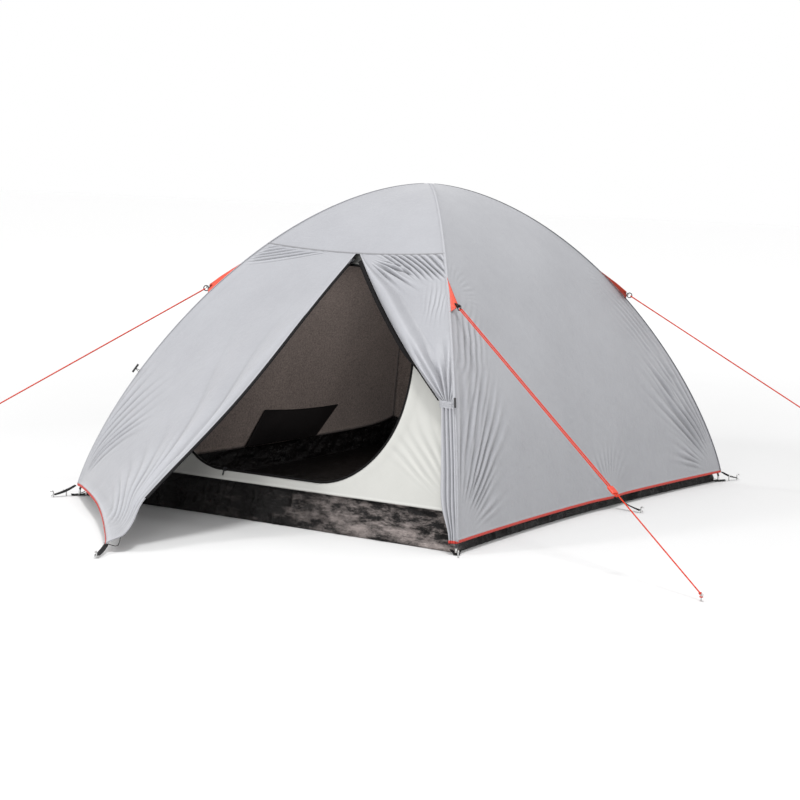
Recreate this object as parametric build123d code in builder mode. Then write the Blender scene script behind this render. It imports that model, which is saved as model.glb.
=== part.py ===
"""Two-pole dome tent, pitched, with its front door tied open.

The origin is on the ground under the crossing of the poles. +X is the side with the tied flap, -Y is the
front with the vestibule, +Z is up. All lengths are in millimetres.
"""
from build123d import *
import os
from math import atan2, cos, degrees, hypot, radians, sin

os.makedirs("parts", exist_ok=True)

# Overall shape: the fly follows two crossed arches over the corners of the floor.
WIDTH = 1730  # along X, between the pole tips
DEPTH = 2250  # along Y, between the pole tips
HEIGHT = 1250
ARCH_POWER = 1.327
ARCH_ROUND = 0.562
ARCH_STEPS = 16

# Cloth
CLOTH = 1.5
HEM_Z = 45  # lower edge of the fly panels
SEAM_Z = 994  # seam between the front roof panel and the vestibule
INNER_INSET = 36  # from the fly's outer face to the inner tent
TUB_Z = 130
TUB_LEAN = 36  # how far the tub's wall comes in from floor to rim
HEM_WIDTH = 8
HEM_THICKNESS = 3

# Vestibule and outer door
PEAK = Vector(-30, -1888, 28)
ZIP_TOP = Vector(36, -562, 966)
TIE_Z = 485
TAPE_WIDTH = 16
TAPE_THICKNESS = 1
COIL_WIDTH = 5
COIL_THICKNESS = 3
COIL_OFF_CLOTH = 0.1  # between the inner zip and the wall
ZIP_SHARE = 0.86  # of the way down to the peak
NECK_WIDTH = 52  # of the right flap in its tie
NECK_FORWARD = 14
FREE_EDGE_BOW = Vector(0, -36, -6)  # at the middle of the right flap's free edge
TAIL_LAP = 15
TAIL_SPREAD = 900  # drop in which the tail's width doubles

# Inner door: an upper half ellipse on rounded lower corners
DOOR_HALF_WIDTH = 488
DOOR_SILL_Z = 172
DOOR_CORNER = 275
DOOR_ARCH = 480
ROLL_RADIUS = 26
ROLL_GAP = 3
ROLL_Z = (300, 480, 700)
ROLL_TIE_AT = 0.45  # along the roll
ROLL_TIE_WIDTH = 18
POCKET_Z = (142, 262)
POCKET_Y = (-150, 400)
POCKET_GAP = 4
POCKET_THICKNESS = 3

# Poles
POLE_RADIUS = 4.25
POLE_WALL = 1.2
FERRULE_RADIUS = 5.5
FERRULE_LENGTH = 60
POLE_SECTIONS = 7
POLE_INSETS = {"a": 24.5, "b": 14}
POLE_FOOT_Z = 26
TIP_CLEAR = 1.6
TIP_POINT = 4  # height of the narrow point under each tip
TIP_STEP = 1.5
WEBBING_OUTER = 3  # thickness of the corner webbing
WEBBING_SIZE = (66, 24)

# Toggles and the tie
TOGGLE_RADIUS = 4
TOGGLE_LENGTH = 38
TOGGLE_STAND_OFF = 20
TOGGLE_HOLE = 1.6
BAND_HEIGHT = 20
BAND_THICKNESS = 1.6
BAND_SLACK = 11
BAND_DEPTH = 10
BAND_FORWARD = 4
BAND_OFF_RIDGE = 7

# Zip sliders and pulls
SLIDER = 14  # length and width of the body
PLATE = 1.4
CLOTH_GAP = 0.28
COIL_CLEAR = 1.6  # to each side of the coil, where the cloth's cut edge stands past it
POST = (2.4, 1.4)
BAR_HALF_LENGTH = 4.5
BAR_HEIGHT = 4
BAR_RADIUS = 0.9
POST_CAP = 0.5
PULL_LENGTH = 26
PULL_WIDTH = 6
PULL_THICKNESS = 1.2
PULL_EYE = 1.7  # wall round the bar
OUTER_SLIDER_AT = 34  # down the zip from its top end
INNER_SLIDER_X = -198

# Guy lines
GUY_Z = 853  # middle of each gusset on its ridge
GUSSET_HALF_HEIGHT = 58
GUSSET_REACH = 72
GUSSET_OFF_RIDGE = 3
GUSSET_TAB = (22, 13)
GUY_PEG_X = 1808
GUY_PEG_Y = 1222
GUY_END_Z = 16
CORD_RADIUS = 2.25
RING_RADIUS = 10
RING_WIRE = 2
RUNNER_AT = 0.67  # along the line, from ring to peg
RUNNER = (34, 24, 9)
RUNNER_ROUND = 3
CORD_TAIL = 14
BEND_CLEAR = 0.05  # keeps the bend under half the strands' spread
PEG_WIRE = 2.5
PEG_HEIGHT = 24
HOOK_RADIUS = 7
HOOK_TURN = -150
CORNER_PEG_OUT = 34
LOOP_WIDTH = 15
LOOP_THICKNESS = 2

GAP = 0.35  # running clearance round what slides
STRAND_SPREAD = CORD_RADIUS + RING_WIRE + GAP
CORNERS = {"front_right": (1, -1), "back_right": (1, 1), "back_left": (-1, 1), "front_left": (-1, -1)}


# The arch -------------------------------------------------------------------------------------------
def arch_point(half_span, z, inset=0.0):
    """Distance from the tent's axis and height of the arch at z, moved in at right angles by inset."""
    t = z / HEIGHT
    if t >= 1:
        return 0.0, HEIGHT - inset
    fall = 1 - t**ARCH_POWER
    slope = -half_span * ARCH_ROUND * ARCH_POWER * t ** (ARCH_POWER - 1) * fall ** (ARCH_ROUND - 1) / HEIGHT
    length = hypot(1, slope)
    return half_span * fall**ARCH_ROUND - inset / length, z + inset * slope / length


def sheet_point(half_span, height, inset):
    """The point at a given height on the arch moved in by inset."""
    z = height
    for _ in range(6):
        z += height - arch_point(half_span, z, inset)[1]
    return arch_point(half_span, z, inset)


def arch_heights(low, high=HEIGHT, steps=ARCH_STEPS):
    """Heights from low to high, closer together towards the top, where the arch turns fastest."""
    return [low + (high - low) * (1 - (1 - k / steps) ** 2) for k in range(steps + 1)]


def ridge_point(z, side_x, side_y, inset=0.0):
    """Point of the pole's ridge over one corner."""
    half_span = hypot(WIDTH, DEPTH) / 2
    reach, height = arch_point(half_span, z, inset)
    return Vector(side_x * WIDTH / 2, side_y * DEPTH / 2, 0) * (reach / half_span) + Vector(0, 0, height)


def outward(angle):
    """Unit vector in plan."""
    return Vector(cos(radians(angle)), sin(radians(angle)), 0)


def vault_panel(angle, low, high, inset, thickness):
    """One side of the vault: an arched sheet facing angle, trimmed along the ridges."""
    half_span, half_side = (WIDTH / 2, DEPTH / 2) if angle % 180 == 0 else (DEPTH / 2, WIDTH / 2)
    facing, along = outward(angle), outward(angle + 90)
    ratio = half_side / half_span
    with BuildPart() as panel:
        with BuildSketch(Plane(origin=(0, 0, 0), x_dir=facing, z_dir=-along)):
            with BuildLine():
                outer = Spline(*[arch_point(half_span, z, inset) for z in arch_heights(0)])
                inner = Spline(*[arch_point(half_span, z, inset + thickness) for z in arch_heights(0)])
                Line(outer @ 0, inner @ 0)
                Line(outer @ 1, inner @ 1)
            make_face()
        extrude(amount=half_side, both=True)
        with BuildSketch(Plane.XY.offset(low)):
            with BuildLine():
                left = (facing + along * ratio) * DEPTH
                right = (facing - along * ratio) * DEPTH
                Polyline((0, 0), (left.X, left.Y), (right.X, right.Y), close=True)
            make_face()
        extrude(amount=high - low, mode=Mode.INTERSECT)
    return panel


def write(part, name):
    """Labels one finished piece and writes its file."""
    part.label = name
    export_step(part, f"parts/{name}.step")


def bar(start, end, width, thickness, flat=(0, 0, 1)):
    """A flat strap between two points, with its broad face towards flat."""
    run = end - start
    across = run.cross(Vector(*flat)).normalized()
    with BuildPart() as strap:
        with BuildSketch(Plane(origin=start, x_dir=across, z_dir=run)):
            Rectangle(width, thickness)
        extrude(amount=run.length)
    return strap


# Fly sheet ------------------------------------------------------------------------------------------
fly_right = vault_panel(0, HEM_Z, HEIGHT, 0, CLOTH)
write(fly_right.part, "fly_right")
fly_back = vault_panel(90, HEM_Z, HEIGHT, 0, CLOTH)
write(fly_back.part, "fly_back")
fly_left = vault_panel(180, HEM_Z, HEIGHT, 0, CLOTH)
write(fly_left.part, "fly_left")
fly_front = vault_panel(270, SEAM_Z, HEIGHT, 0, CLOTH)
write(fly_front.part, "fly_front")

# Inner tent -----------------------------------------------------------------------------------------
inner_right_wall = vault_panel(0, TUB_Z, HEIGHT, INNER_INSET, CLOTH)
write(inner_right_wall.part, "inner_right_wall")
inner_back_wall = vault_panel(90, TUB_Z, HEIGHT, INNER_INSET, CLOTH)
write(inner_back_wall.part, "inner_back_wall")
inner_left_wall = vault_panel(180, TUB_Z, HEIGHT, INNER_INSET, CLOTH)
write(inner_left_wall.part, "inner_left_wall")


def door_outline(grow=0.0):
    """The inner door's edge, drawn on the front elevation, grown outwards."""
    half = DOOR_HALF_WIDTH + grow
    spring_z = DOOR_SILL_Z + DOOR_CORNER
    corner = DOOR_CORNER + grow
    sill = DOOR_SILL_Z - grow
    with BuildSketch(Plane.XZ) as outline:
        with BuildLine():
            EllipticalCenterArc((0, spring_z), half, DOOR_ARCH + grow, arc_size=180)
            CenterArc((corner - half, spring_z), corner, 180, 90)
            Line((corner - half, sill), (half - corner, sill))
            CenterArc((half - corner, spring_z), corner, 270, 90)
        make_face()
    return outline.sketch


doorway = door_outline()
zip_outline = door_outline(COIL_WIDTH)
front_wall = vault_panel(270, TUB_Z, HEIGHT, INNER_INSET, CLOTH)
with BuildPart() as inner_front_wall:
    add(front_wall.part)
    extrude(doorway, amount=DEPTH / 2, mode=Mode.SUBTRACT)
write(inner_front_wall.part, "inner_front_wall")

coil_sheet = vault_panel(270, TUB_Z, HEIGHT, INNER_INSET - COIL_THICKNESS - COIL_OFF_CLOTH, COIL_THICKNESS)
with BuildPart() as inner_zip:
    add(coil_sheet.part)
    extrude(zip_outline, amount=DEPTH / 2, mode=Mode.INTERSECT)
    extrude(doorway, amount=DEPTH / 2, mode=Mode.SUBTRACT)
write(inner_zip.part, "inner_zip")

# Tub floor: a sheet floor with walls that lean in up to the inner tent's lower edge
TUB_TOP_X = arch_point(WIDTH / 2, TUB_Z)[0] - INNER_INSET
TUB_TOP_Y = arch_point(DEPTH / 2, TUB_Z)[0] - INNER_INSET - 2
with BuildPart() as groundsheet:
    with BuildSketch():
        Rectangle(2 * (TUB_TOP_X + TUB_LEAN), 2 * (TUB_TOP_Y + TUB_LEAN))
    with BuildSketch(Plane.XY.offset(TUB_Z)):
        Rectangle(2 * TUB_TOP_X, 2 * TUB_TOP_Y)
    loft()
    offset(amount=-CLOTH, openings=groundsheet.faces().sort_by(Axis.Z)[-1])
write(groundsheet.part, "groundsheet")

# Inner door, gathered into a roll at the left jamb, inside the wall
ROLL_INSET = INNER_INSET + CLOTH + ROLL_RADIUS + ROLL_GAP


def jamb_point(z):
    """Centre of the door roll at height z, following the left edge of the doorway."""
    spring_z = DOOR_SILL_Z + DOOR_CORNER
    rise = max(z - spring_z, 0) / DOOR_ARCH
    reach, height = arch_point(DEPTH / 2, z, ROLL_INSET)
    return Vector(-DOOR_HALF_WIDTH * (1 - rise**2) ** 0.5, -reach, height)


with BuildPart() as inner_door_roll:
    with BuildLine() as roll_path:
        ThreePointArc(*[jamb_point(z) for z in ROLL_Z])
    with BuildSketch(Plane(origin=roll_path.line @ 0, z_dir=roll_path.line % 0)):
        Circle(ROLL_RADIUS)
    sweep()
write(inner_door_roll.part, "inner_door_roll")

with BuildPart() as inner_door_tie:
    with BuildSketch(Plane(origin=roll_path.line @ ROLL_TIE_AT, z_dir=roll_path.line % ROLL_TIE_AT)):
        Circle(ROLL_RADIUS + GAP + LOOP_THICKNESS)
        Circle(ROLL_RADIUS + GAP, mode=Mode.SUBTRACT)
    extrude(amount=ROLL_TIE_WIDTH / 2, both=True)
write(inner_door_tie.part, "inner_door_tie")

# Pocket: a flat pouch of black mesh on the left wall
pocket_low, pocket_high = [arch_point(WIDTH / 2, z, INNER_INSET + CLOTH + POCKET_GAP) for z in POCKET_Z]
with BuildPart() as inner_pocket:
    with BuildSketch(Plane.XZ.offset(-POCKET_Y[0])):
        with BuildLine():
            Polyline(
                (-pocket_low[0], pocket_low[1]),
                (-pocket_high[0], pocket_high[1]),
                (-pocket_high[0] + POCKET_THICKNESS, pocket_high[1]),
                (-pocket_low[0] + POCKET_THICKNESS, pocket_low[1]),
                close=True,
            )
        make_face()
    extrude(amount=POCKET_Y[0] - POCKET_Y[1])
write(inner_pocket.part, "inner_pocket")

# Poles ----------------------------------------------------------------------------------------------
POLE_SIDES = {"a": (1, -1), "b": (1, 1)}


def pole_stations(letter):
    """Evenly spaced joints along one pole, from one foot to the other, each with a point between."""
    side_x, side_y = POLE_SIDES[letter]
    inset = POLE_INSETS[letter]
    rise = [ridge_point(z, side_x, side_y, inset) for z in arch_heights(POLE_FOOT_Z, steps=60)]
    fall = [ridge_point(z, -side_x, -side_y, inset) for z in arch_heights(POLE_FOOT_Z, steps=60)]
    trail = rise + fall[-2::-1]
    reach = [0.0]
    for before, after in zip(trail, trail[1:]):
        reach.append(reach[-1] + (after - before).length)
    stations = []
    for k in range(2 * POLE_SECTIONS + 1):
        wanted = reach[-1] * k / (2 * POLE_SECTIONS)
        i = min(next((n for n, r in enumerate(reach) if r >= wanted), len(reach) - 1), len(reach) - 1)
        i = max(i, 1)
        share = (wanted - reach[i - 1]) / (reach[i] - reach[i - 1])
        stations.append(trail[i - 1] + (trail[i] - trail[i - 1]) * share)
    return stations


for letter in POLE_SIDES:
    stations = pole_stations(letter)
    for n in range(POLE_SECTIONS):
        with BuildPart() as pole_section:
            with BuildLine() as run:
                ThreePointArc(*stations[2 * n : 2 * n + 3])
            with BuildSketch(Plane(origin=run.line @ 0, z_dir=run.line % 0)):
                Circle(POLE_RADIUS)
            sweep()
            if n < POLE_SECTIONS - 1:
                with BuildSketch(Plane(origin=run.line @ 1, z_dir=-(run.line % 1))):
                    Circle(FERRULE_RADIUS)
                extrude(amount=FERRULE_LENGTH)
            with BuildSketch(Plane(origin=run.line @ 0, z_dir=run.line % 0)):
                Circle(POLE_RADIUS - POLE_WALL)
            sweep(path=run.line, mode=Mode.SUBTRACT)
        write(pole_section.part, f"pole_{letter}_section_{n + 1}")

with BuildPart() as pole_tips:
    for side_x, side_y in CORNERS.values():
        inset = POLE_INSETS["a" if side_x * side_y < 0 else "b"]
        foot = ridge_point(POLE_FOOT_Z, side_x, side_y, inset)
        with BuildSketch(Plane(origin=(foot.X, foot.Y, TIP_POINT))):
            Circle(POLE_RADIUS)
        extrude(amount=foot.Z - TIP_POINT - TIP_CLEAR)
        with BuildSketch(Plane(origin=(foot.X, foot.Y, 0))):
            Circle(POLE_RADIUS - TIP_STEP)
        extrude(amount=TIP_POINT)
write(pole_tips.part, "pole_tips")

with BuildPart() as corner_webbing:
    for side_x, side_y in CORNERS.values():
        inset = POLE_INSETS["a" if side_x * side_y < 0 else "b"]
        foot = ridge_point(POLE_FOOT_Z, side_x, side_y, inset)
        corner = Vector(side_x * (TUB_TOP_X + TUB_LEAN), side_y * (TUB_TOP_Y + TUB_LEAN), 0)
        turn = degrees(atan2(foot.Y - corner.Y, foot.X - corner.X))
        with BuildSketch(Plane(origin=(foot.X, foot.Y, 0), x_dir=outward(turn))):
            with Locations((TIP_POINT + 2, 0)):
                Rectangle(*WEBBING_SIZE)
            Circle(POLE_RADIUS - TIP_STEP + GAP, mode=Mode.SUBTRACT)
        extrude(amount=WEBBING_OUTER)
    with BuildSketch():
        Rectangle(2 * (TUB_TOP_X + TUB_LEAN), 2 * (TUB_TOP_Y + TUB_LEAN))
    extrude(amount=TIP_POINT, mode=Mode.SUBTRACT)
write(corner_webbing.part, "corner_webbing")


# Vestibule ------------------------------------------------------------------------------------------
def edge_through(*points):
    """A smooth edge through the points, or a straight one between two."""
    with BuildLine() as line:
        if len(points) == 2:
            Line(*points)
        else:
            Spline(*points)
    return line.edges()[0]


def ruled_cloth(edge_a, edge_b, thickness=CLOTH):
    """A sheet ruled between two edges, with its thickness on one side."""
    with BuildPart() as sheet:
        thicken(Face.make_surface_from_curves(edge_a, edge_b), amount=thickness)
    return sheet


zip_run = PEAK - ZIP_TOP
zip_dir = zip_run.normalized()
zip_face = zip_dir.cross(Vector(1, 0, 0)).normalized()  # away from the tent, up and forwards
zip_side = zip_dir.cross(zip_face)  # across the zip
if zip_face.Z < 0:
    zip_face = zip_face * -1
if zip_side.X < 0:
    zip_side = zip_side * -1

LEFT_RIDGE_HEIGHTS = (SEAM_Z, 860, 700, 520, 340, 180, HEM_Z)
left_ridge = edge_through(*[ridge_point(z, -1, -1) for z in LEFT_RIDGE_HEIGHTS])
flap_edge = edge_through(ZIP_TOP - zip_side * TAPE_WIDTH, PEAK - zip_side * TAPE_WIDTH)
left_cloth = ruled_cloth(left_ridge, flap_edge)
with BuildPart() as vestibule_left_flap:
    add(left_cloth.part)
write(vestibule_left_flap.part, "vestibule_left_flap")

# The right flap is drawn in to the tie, and its tail hangs down the pole to the corner.
neck_out = Vector(-NECK_WIDTH, -NECK_FORWARD, 0)
right_high = edge_through(*[ridge_point(z, 1, -1) for z in (SEAM_Z, 860, 740, 610, TIE_Z)])
free_start = ZIP_TOP + zip_side * TAPE_WIDTH
free_end = ridge_point(TIE_Z, 1, -1) + neck_out
right_free = edge_through(free_start, (free_start + free_end) * 0.5 + FREE_EDGE_BOW, free_end)
tail_heights = (TIE_Z + TAIL_LAP, 340, 190, HEM_Z)
right_low = edge_through(*[ridge_point(z, 1, -1) for z in tail_heights])
tail_free = edge_through(
    *[ridge_point(z, 1, -1) + neck_out * (1 + (TIE_Z - z) / TAIL_SPREAD) for z in tail_heights]
)
gathered_cloth = ruled_cloth(right_high, right_free, -CLOTH)
tail_cloth = ruled_cloth(right_low, tail_free, -CLOTH)
with BuildPart() as vestibule_right_flap:
    add(gathered_cloth.part)
    add(tail_cloth.part)
write(vestibule_right_flap.part, "vestibule_right_flap")

# Outer zip: half of its coil and tape stays on the left flap
with BuildPart() as outer_zip:
    with BuildSketch(Plane(origin=ZIP_TOP, x_dir=zip_side, z_dir=zip_dir)):
        with Locations((-TAPE_WIDTH / 2, 0)):
            Rectangle(TAPE_WIDTH, TAPE_THICKNESS)
        Rectangle(COIL_WIDTH, COIL_THICKNESS)
    extrude(amount=zip_run.length * ZIP_SHARE)
write(outer_zip.part, "outer_zip")

# Hem: a bound edge under the fly, from the near corner round the back to the peak
hem_corners = [ridge_point(HEM_Z, *CORNERS[name]) for name in CORNERS] + [PEAK - zip_side * TAPE_WIDTH]
hem_drop = Vector(0, 0, -HEM_WIDTH / 2)
with BuildPart() as fly_hem:
    with BuildLine():
        Polyline(*[corner + hem_drop for corner in hem_corners])
    with BuildSketch(Plane(origin=hem_corners[0] + hem_drop, x_dir=(1, 0, 0), z_dir=(0, 1, 0))):
        Rectangle(HEM_THICKNESS, HEM_WIDTH)
    sweep(transition=Transition.RIGHT)
write(fly_hem.part, "fly_hem")

# Ties and toggles -----------------------------------------------------------------------------------
def ridge_frame(z, side_x, side_y):
    """Point of the ridge, its direction upwards and its normal away from the tent."""
    point = ridge_point(z, side_x, side_y)
    up_ridge = (ridge_point(z + 5, side_x, side_y) - ridge_point(z - 5, side_x, side_y)).normalized()
    sideways = Vector(0, 0, 1).cross(Vector(side_x * WIDTH, side_y * DEPTH, 0)).normalized()
    return point, up_ridge, sideways.cross(up_ridge).normalized()


def diagonal_plane(side_x, side_y, towards):
    """The vertical plane of one ridge, with its normal on the side of a point in plan."""
    normal = Vector(side_y * DEPTH, -side_x * WIDTH, 0).normalized()
    if normal.dot(Vector(*towards, 0)) < 0:
        normal = normal * -1
    return Plane(origin=(0, 0, 0), z_dir=normal)


TOGGLES = {"right": (1, -1), "left": (-1, -1)}
for side, (side_x, side_y) in TOGGLES.items():
    point, up_ridge, away = ridge_frame(TIE_Z, side_x, side_y)
    centre = point + away * TOGGLE_STAND_OFF
    with BuildPart() as toggle:
        with BuildSketch(Plane(origin=centre, z_dir=up_ridge)):
            Circle(TOGGLE_RADIUS)
        extrude(amount=TOGGLE_LENGTH / 2, both=True)
        chamfer(toggle.edges().filter_by(GeomType.CIRCLE), 1)
        with BuildSketch(Plane(origin=centre, x_dir=up_ridge, z_dir=away)):
            Circle(TOGGLE_HOLE)
        extrude(amount=TOGGLE_RADIUS, both=True, mode=Mode.SUBTRACT)
    write(toggle.part, f"toggle_{side}")

neck_centre = ridge_point(TIE_Z, 1, -1) + neck_out * 0.5 + ridge_frame(TIE_Z, 1, -1)[2] * BAND_FORWARD
with BuildPart() as flap_tie:
    with BuildSketch(Plane(origin=neck_centre + Vector(0, 0, -BAND_HEIGHT / 2), x_dir=neck_out)):
        Ellipse(NECK_WIDTH / 2 + BAND_SLACK, BAND_DEPTH)
        Ellipse(NECK_WIDTH / 2 + BAND_SLACK - BAND_THICKNESS, BAND_DEPTH - BAND_THICKNESS, mode=Mode.SUBTRACT)
    extrude(amount=BAND_HEIGHT)
    split(bisect_by=diagonal_plane(1, -1, (0, -1)).offset(BAND_OFF_RIDGE), keep=Keep.TOP)
write(flap_tie.part, "flap_tie")

# Zip sliders and pulls ------------------------------------------------------------------------------
def zip_slider(coil_centre, along, across, out, cloth_low, cloth_high, hang, bar_axis, name):
    """A slider round a coil, open on the side away from across for the cloth, and its pull tab."""
    low = min(-COIL_THICKNESS / 2, cloth_low) - GAP
    high = COIL_THICKNESS / 2 + GAP
    half_coil = COIL_WIDTH / 2 + COIL_CLEAR
    top = high + PLATE
    section = Plane(origin=coil_centre - along * (SLIDER / 2), x_dir=across, z_dir=along)
    flip = 1 if section.y_dir.dot(out) > 0 else -1
    with BuildPart() as slider:
        with BuildSketch(section):
            with Locations((0, flip * (top + low - PLATE) / 2)):
                Rectangle(SLIDER, top - low + PLATE)
            with Locations((0, flip * (high + low) / 2)):
                Rectangle(2 * half_coil, high - low, mode=Mode.SUBTRACT)
            with Locations((-SLIDER / 2, flip * (cloth_high + cloth_low) / 2)):
                Rectangle(SLIDER, cloth_high - cloth_low + 2 * CLOTH_GAP, mode=Mode.SUBTRACT)
        extrude(amount=SLIDER)
        for end in (-BAR_HALF_LENGTH, BAR_HALF_LENGTH):
            with BuildSketch(Plane(origin=coil_centre + out * top + bar_axis * end, x_dir=hang, z_dir=out)):
                Rectangle(*POST)
            extrude(amount=BAR_HEIGHT + BAR_RADIUS + POST_CAP)
        bar_centre = coil_centre + out * (top + BAR_HEIGHT)
        with BuildSketch(Plane(origin=bar_centre, z_dir=bar_axis)):
            Circle(BAR_RADIUS)
        extrude(amount=BAR_HALF_LENGTH, both=True)
    write(slider.part, f"{name}_slider")
    with BuildPart() as pull:
        with BuildSketch(Plane(origin=bar_centre, x_dir=hang, z_dir=bar_axis)):
            Circle(BAR_RADIUS + PULL_EYE)
            with Locations((PULL_LENGTH / 2, 0)):
                Rectangle(PULL_LENGTH, PULL_THICKNESS)
            Circle(BAR_RADIUS + GAP, mode=Mode.SUBTRACT)
        extrude(amount=PULL_WIDTH / 2, both=True)
    write(pull.part, f"{name}_pull")
    return bar_centre


outer_coil = ZIP_TOP + zip_dir * OUTER_SLIDER_AT
outer_bar = zip_slider(
    outer_coil,
    zip_dir,
    zip_side,
    zip_face,
    -TAPE_THICKNESS / 2,
    TAPE_THICKNESS / 2,
    zip_dir,
    zip_side,
    "outer_zip",
)

coil_inset = INNER_INSET - COIL_THICKNESS / 2 - COIL_OFF_CLOTH
sill_reach, sill_z = sheet_point(DEPTH / 2, DOOR_SILL_Z - COIL_WIDTH / 2, coil_inset)
above_reach, above_z = sheet_point(DEPTH / 2, DOOR_SILL_Z + COIL_WIDTH / 2, coil_inset)
wall_up = Vector(0, sill_reach - above_reach, above_z - sill_z).normalized()
wall_out = Vector(1, 0, 0).cross(wall_up).normalized()
if wall_out.Y > 0:
    wall_out = wall_out * -1
inner_coil = Vector(INNER_SLIDER_X, -sill_reach, sill_z)
cloth_face = -COIL_THICKNESS / 2 - COIL_OFF_CLOTH
inner_bar = zip_slider(
    inner_coil,
    Vector(1, 0, 0),
    wall_up,
    wall_out,
    cloth_face - CLOTH,
    cloth_face,
    -wall_up,
    Vector(1, 0, 0),
    "inner_zip",
)

# Guy lines ------------------------------------------------------------------------------------------
def upright_cross(run):
    """Level direction at right angles to a run."""
    return Vector(0, 0, 1).cross(run).normalized()


guy_runs = {}
for corner, (side_x, side_y) in CORNERS.items():
    ridge = ridge_point(GUY_Z, side_x, side_y)
    peg = Vector(side_x * GUY_PEG_X, side_y * GUY_PEG_Y, 0)
    run = (peg + Vector(0, 0, GUY_END_Z) - ridge).normalized()
    tip = ridge + run * GUSSET_REACH
    high = ridge_point(GUY_Z + GUSSET_HALF_HEIGHT, side_x, side_y) + run * GUSSET_OFF_RIDGE
    low = ridge_point(GUY_Z - GUSSET_HALF_HEIGHT, side_x, side_y) + run * GUSSET_OFF_RIDGE
    sheet = Plane(origin=tip, x_dir=run, z_dir=(high - low).cross(run))
    high_flat, low_flat = sheet.to_local_coords(high), sheet.to_local_coords(low)
    with BuildPart() as gusset:
        with BuildSketch(sheet):
            with BuildLine():
                Polyline((-4, 0), (high_flat.X, high_flat.Y), (low_flat.X, low_flat.Y), close=True)
            make_face()
            with Locations((-GUSSET_TAB[0] / 2, 0)):
                Rectangle(*GUSSET_TAB)
        extrude(amount=1, both=True)
    write(gusset.part, f"gusset_{corner}")

    level = upright_cross(run)
    ring_centre = tip + run * (RING_RADIUS + RING_WIRE)
    with BuildPart() as guy_ring:
        with BuildSketch(Plane(origin=ring_centre + run * RING_RADIUS, x_dir=run, z_dir=run.cross(level))):
            Circle(RING_WIRE)
        revolve(axis=Axis(ring_centre, level), revolution_arc=360)
    write(guy_ring.part, f"guy_ring_{corner}")

    far_bar = ring_centre + run * RING_RADIUS
    turn_back = far_bar - run * STRAND_SPREAD
    line_start = turn_back - level * STRAND_SPREAD
    line_return = turn_back + level * STRAND_SPREAD
    length = (peg + Vector(0, 0, GUY_END_Z) - line_return).length - 2 * PEG_WIRE
    runner_centre = turn_back + run * (length * RUNNER_AT)
    tail = line_start + run * (length * RUNNER_AT + RUNNER[0] / 2 + CORD_TAIL)
    with BuildPart() as guy:
        with BuildLine() as guy_line:
            bend = STRAND_SPREAD - BEND_CLEAR
            FilletPolyline(tail, line_start, line_return, line_return + run * length, radius=bend)
        with BuildSketch(Plane(origin=tail, z_dir=-run)):
            Circle(CORD_RADIUS)
        sweep()
    write(guy.part, f"guy_{corner}")
    guy_runs[corner] = (tail, line_start, line_return, line_return + run * length)

    with BuildPart() as guy_runner:
        with BuildSketch(Plane(origin=runner_centre - run * (RUNNER[0] / 2), x_dir=level, z_dir=run)):
            RectangleRounded(RUNNER[1], RUNNER[2], RUNNER_ROUND)
            with Locations((-STRAND_SPREAD, 0), (STRAND_SPREAD, 0)):
                Circle(CORD_RADIUS + GAP, mode=Mode.SUBTRACT)
        extrude(amount=RUNNER[0])
    write(guy_runner.part, f"guy_runner_{corner}")

# Pegs and their loops -------------------------------------------------------------------------------
LOOP_RUNS = {
    "peak": (Vector(PEAK.X, PEAK.Y, 18), Vector(6, -1982, 5)),
    "front_left": (Vector(-862, -1126, 38), Vector(-897, -1208, 5)),
    "back_right": (Vector(862, 1126, 38), Vector(897, 1208, 5)),
    "right": (Vector(862, 130, 36), Vector(955, 118, 5)),
    "left": (Vector(-862, 130, 36), Vector(-955, 118, 5)),
    "back": (Vector(0, 1122, 36), Vector(0, 1212, 5)),
}
peg_places = [
    (Vector(x * GUY_PEG_X, y * GUY_PEG_Y, 0), Vector(x, y, 0).normalized()) for x, y in CORNERS.values()
]
for side_x, side_y in CORNERS.values():
    diagonal = Vector(side_x * WIDTH, side_y * DEPTH, 0).normalized()
    peg_places.append((ridge_point(0, side_x, side_y) + diagonal * CORNER_PEG_OUT, diagonal))
for start, end in LOOP_RUNS.values():
    pull_dir = Vector(end.X - start.X, end.Y - start.Y, 0).normalized()
    peg_places.append((Vector(end.X, end.Y, 0) + pull_dir * (PEG_WIRE + 0.5), pull_dir))

with BuildPart() as peg_heads:
    for place, outwards in peg_places:
        upright = Plane(origin=place, x_dir=outwards, z_dir=outwards.cross(Vector(0, 0, 1)))
        with BuildLine(upright) as wire:
            Line((0, 0), (0, PEG_HEIGHT - HOOK_RADIUS))
            CenterArc((HOOK_RADIUS, PEG_HEIGHT - HOOK_RADIUS), HOOK_RADIUS, 180, HOOK_TURN)
        with BuildSketch(Plane(origin=place)):
            Circle(PEG_WIRE)
        sweep(path=wire.wires()[0])
write(peg_heads.part, "peg_heads")

with BuildPart() as peg_loops:
    for start, end in LOOP_RUNS.values():
        add(bar(start, end, LOOP_WIDTH, LOOP_THICKNESS).part)
write(peg_loops.part, "peg_loops")

for corner, points in guy_runs.items():
    print("guy", corner, [tuple(round(c, 1) for c in point) for point in points])
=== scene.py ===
"""Looks of the pitched dome tent: its cloth, trims, cords and materials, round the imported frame. Metres."""

from math import cos, pi, radians, sin

import bmesh
import bpy
import numpy as np
from mathutils import Matrix, Vector


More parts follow.
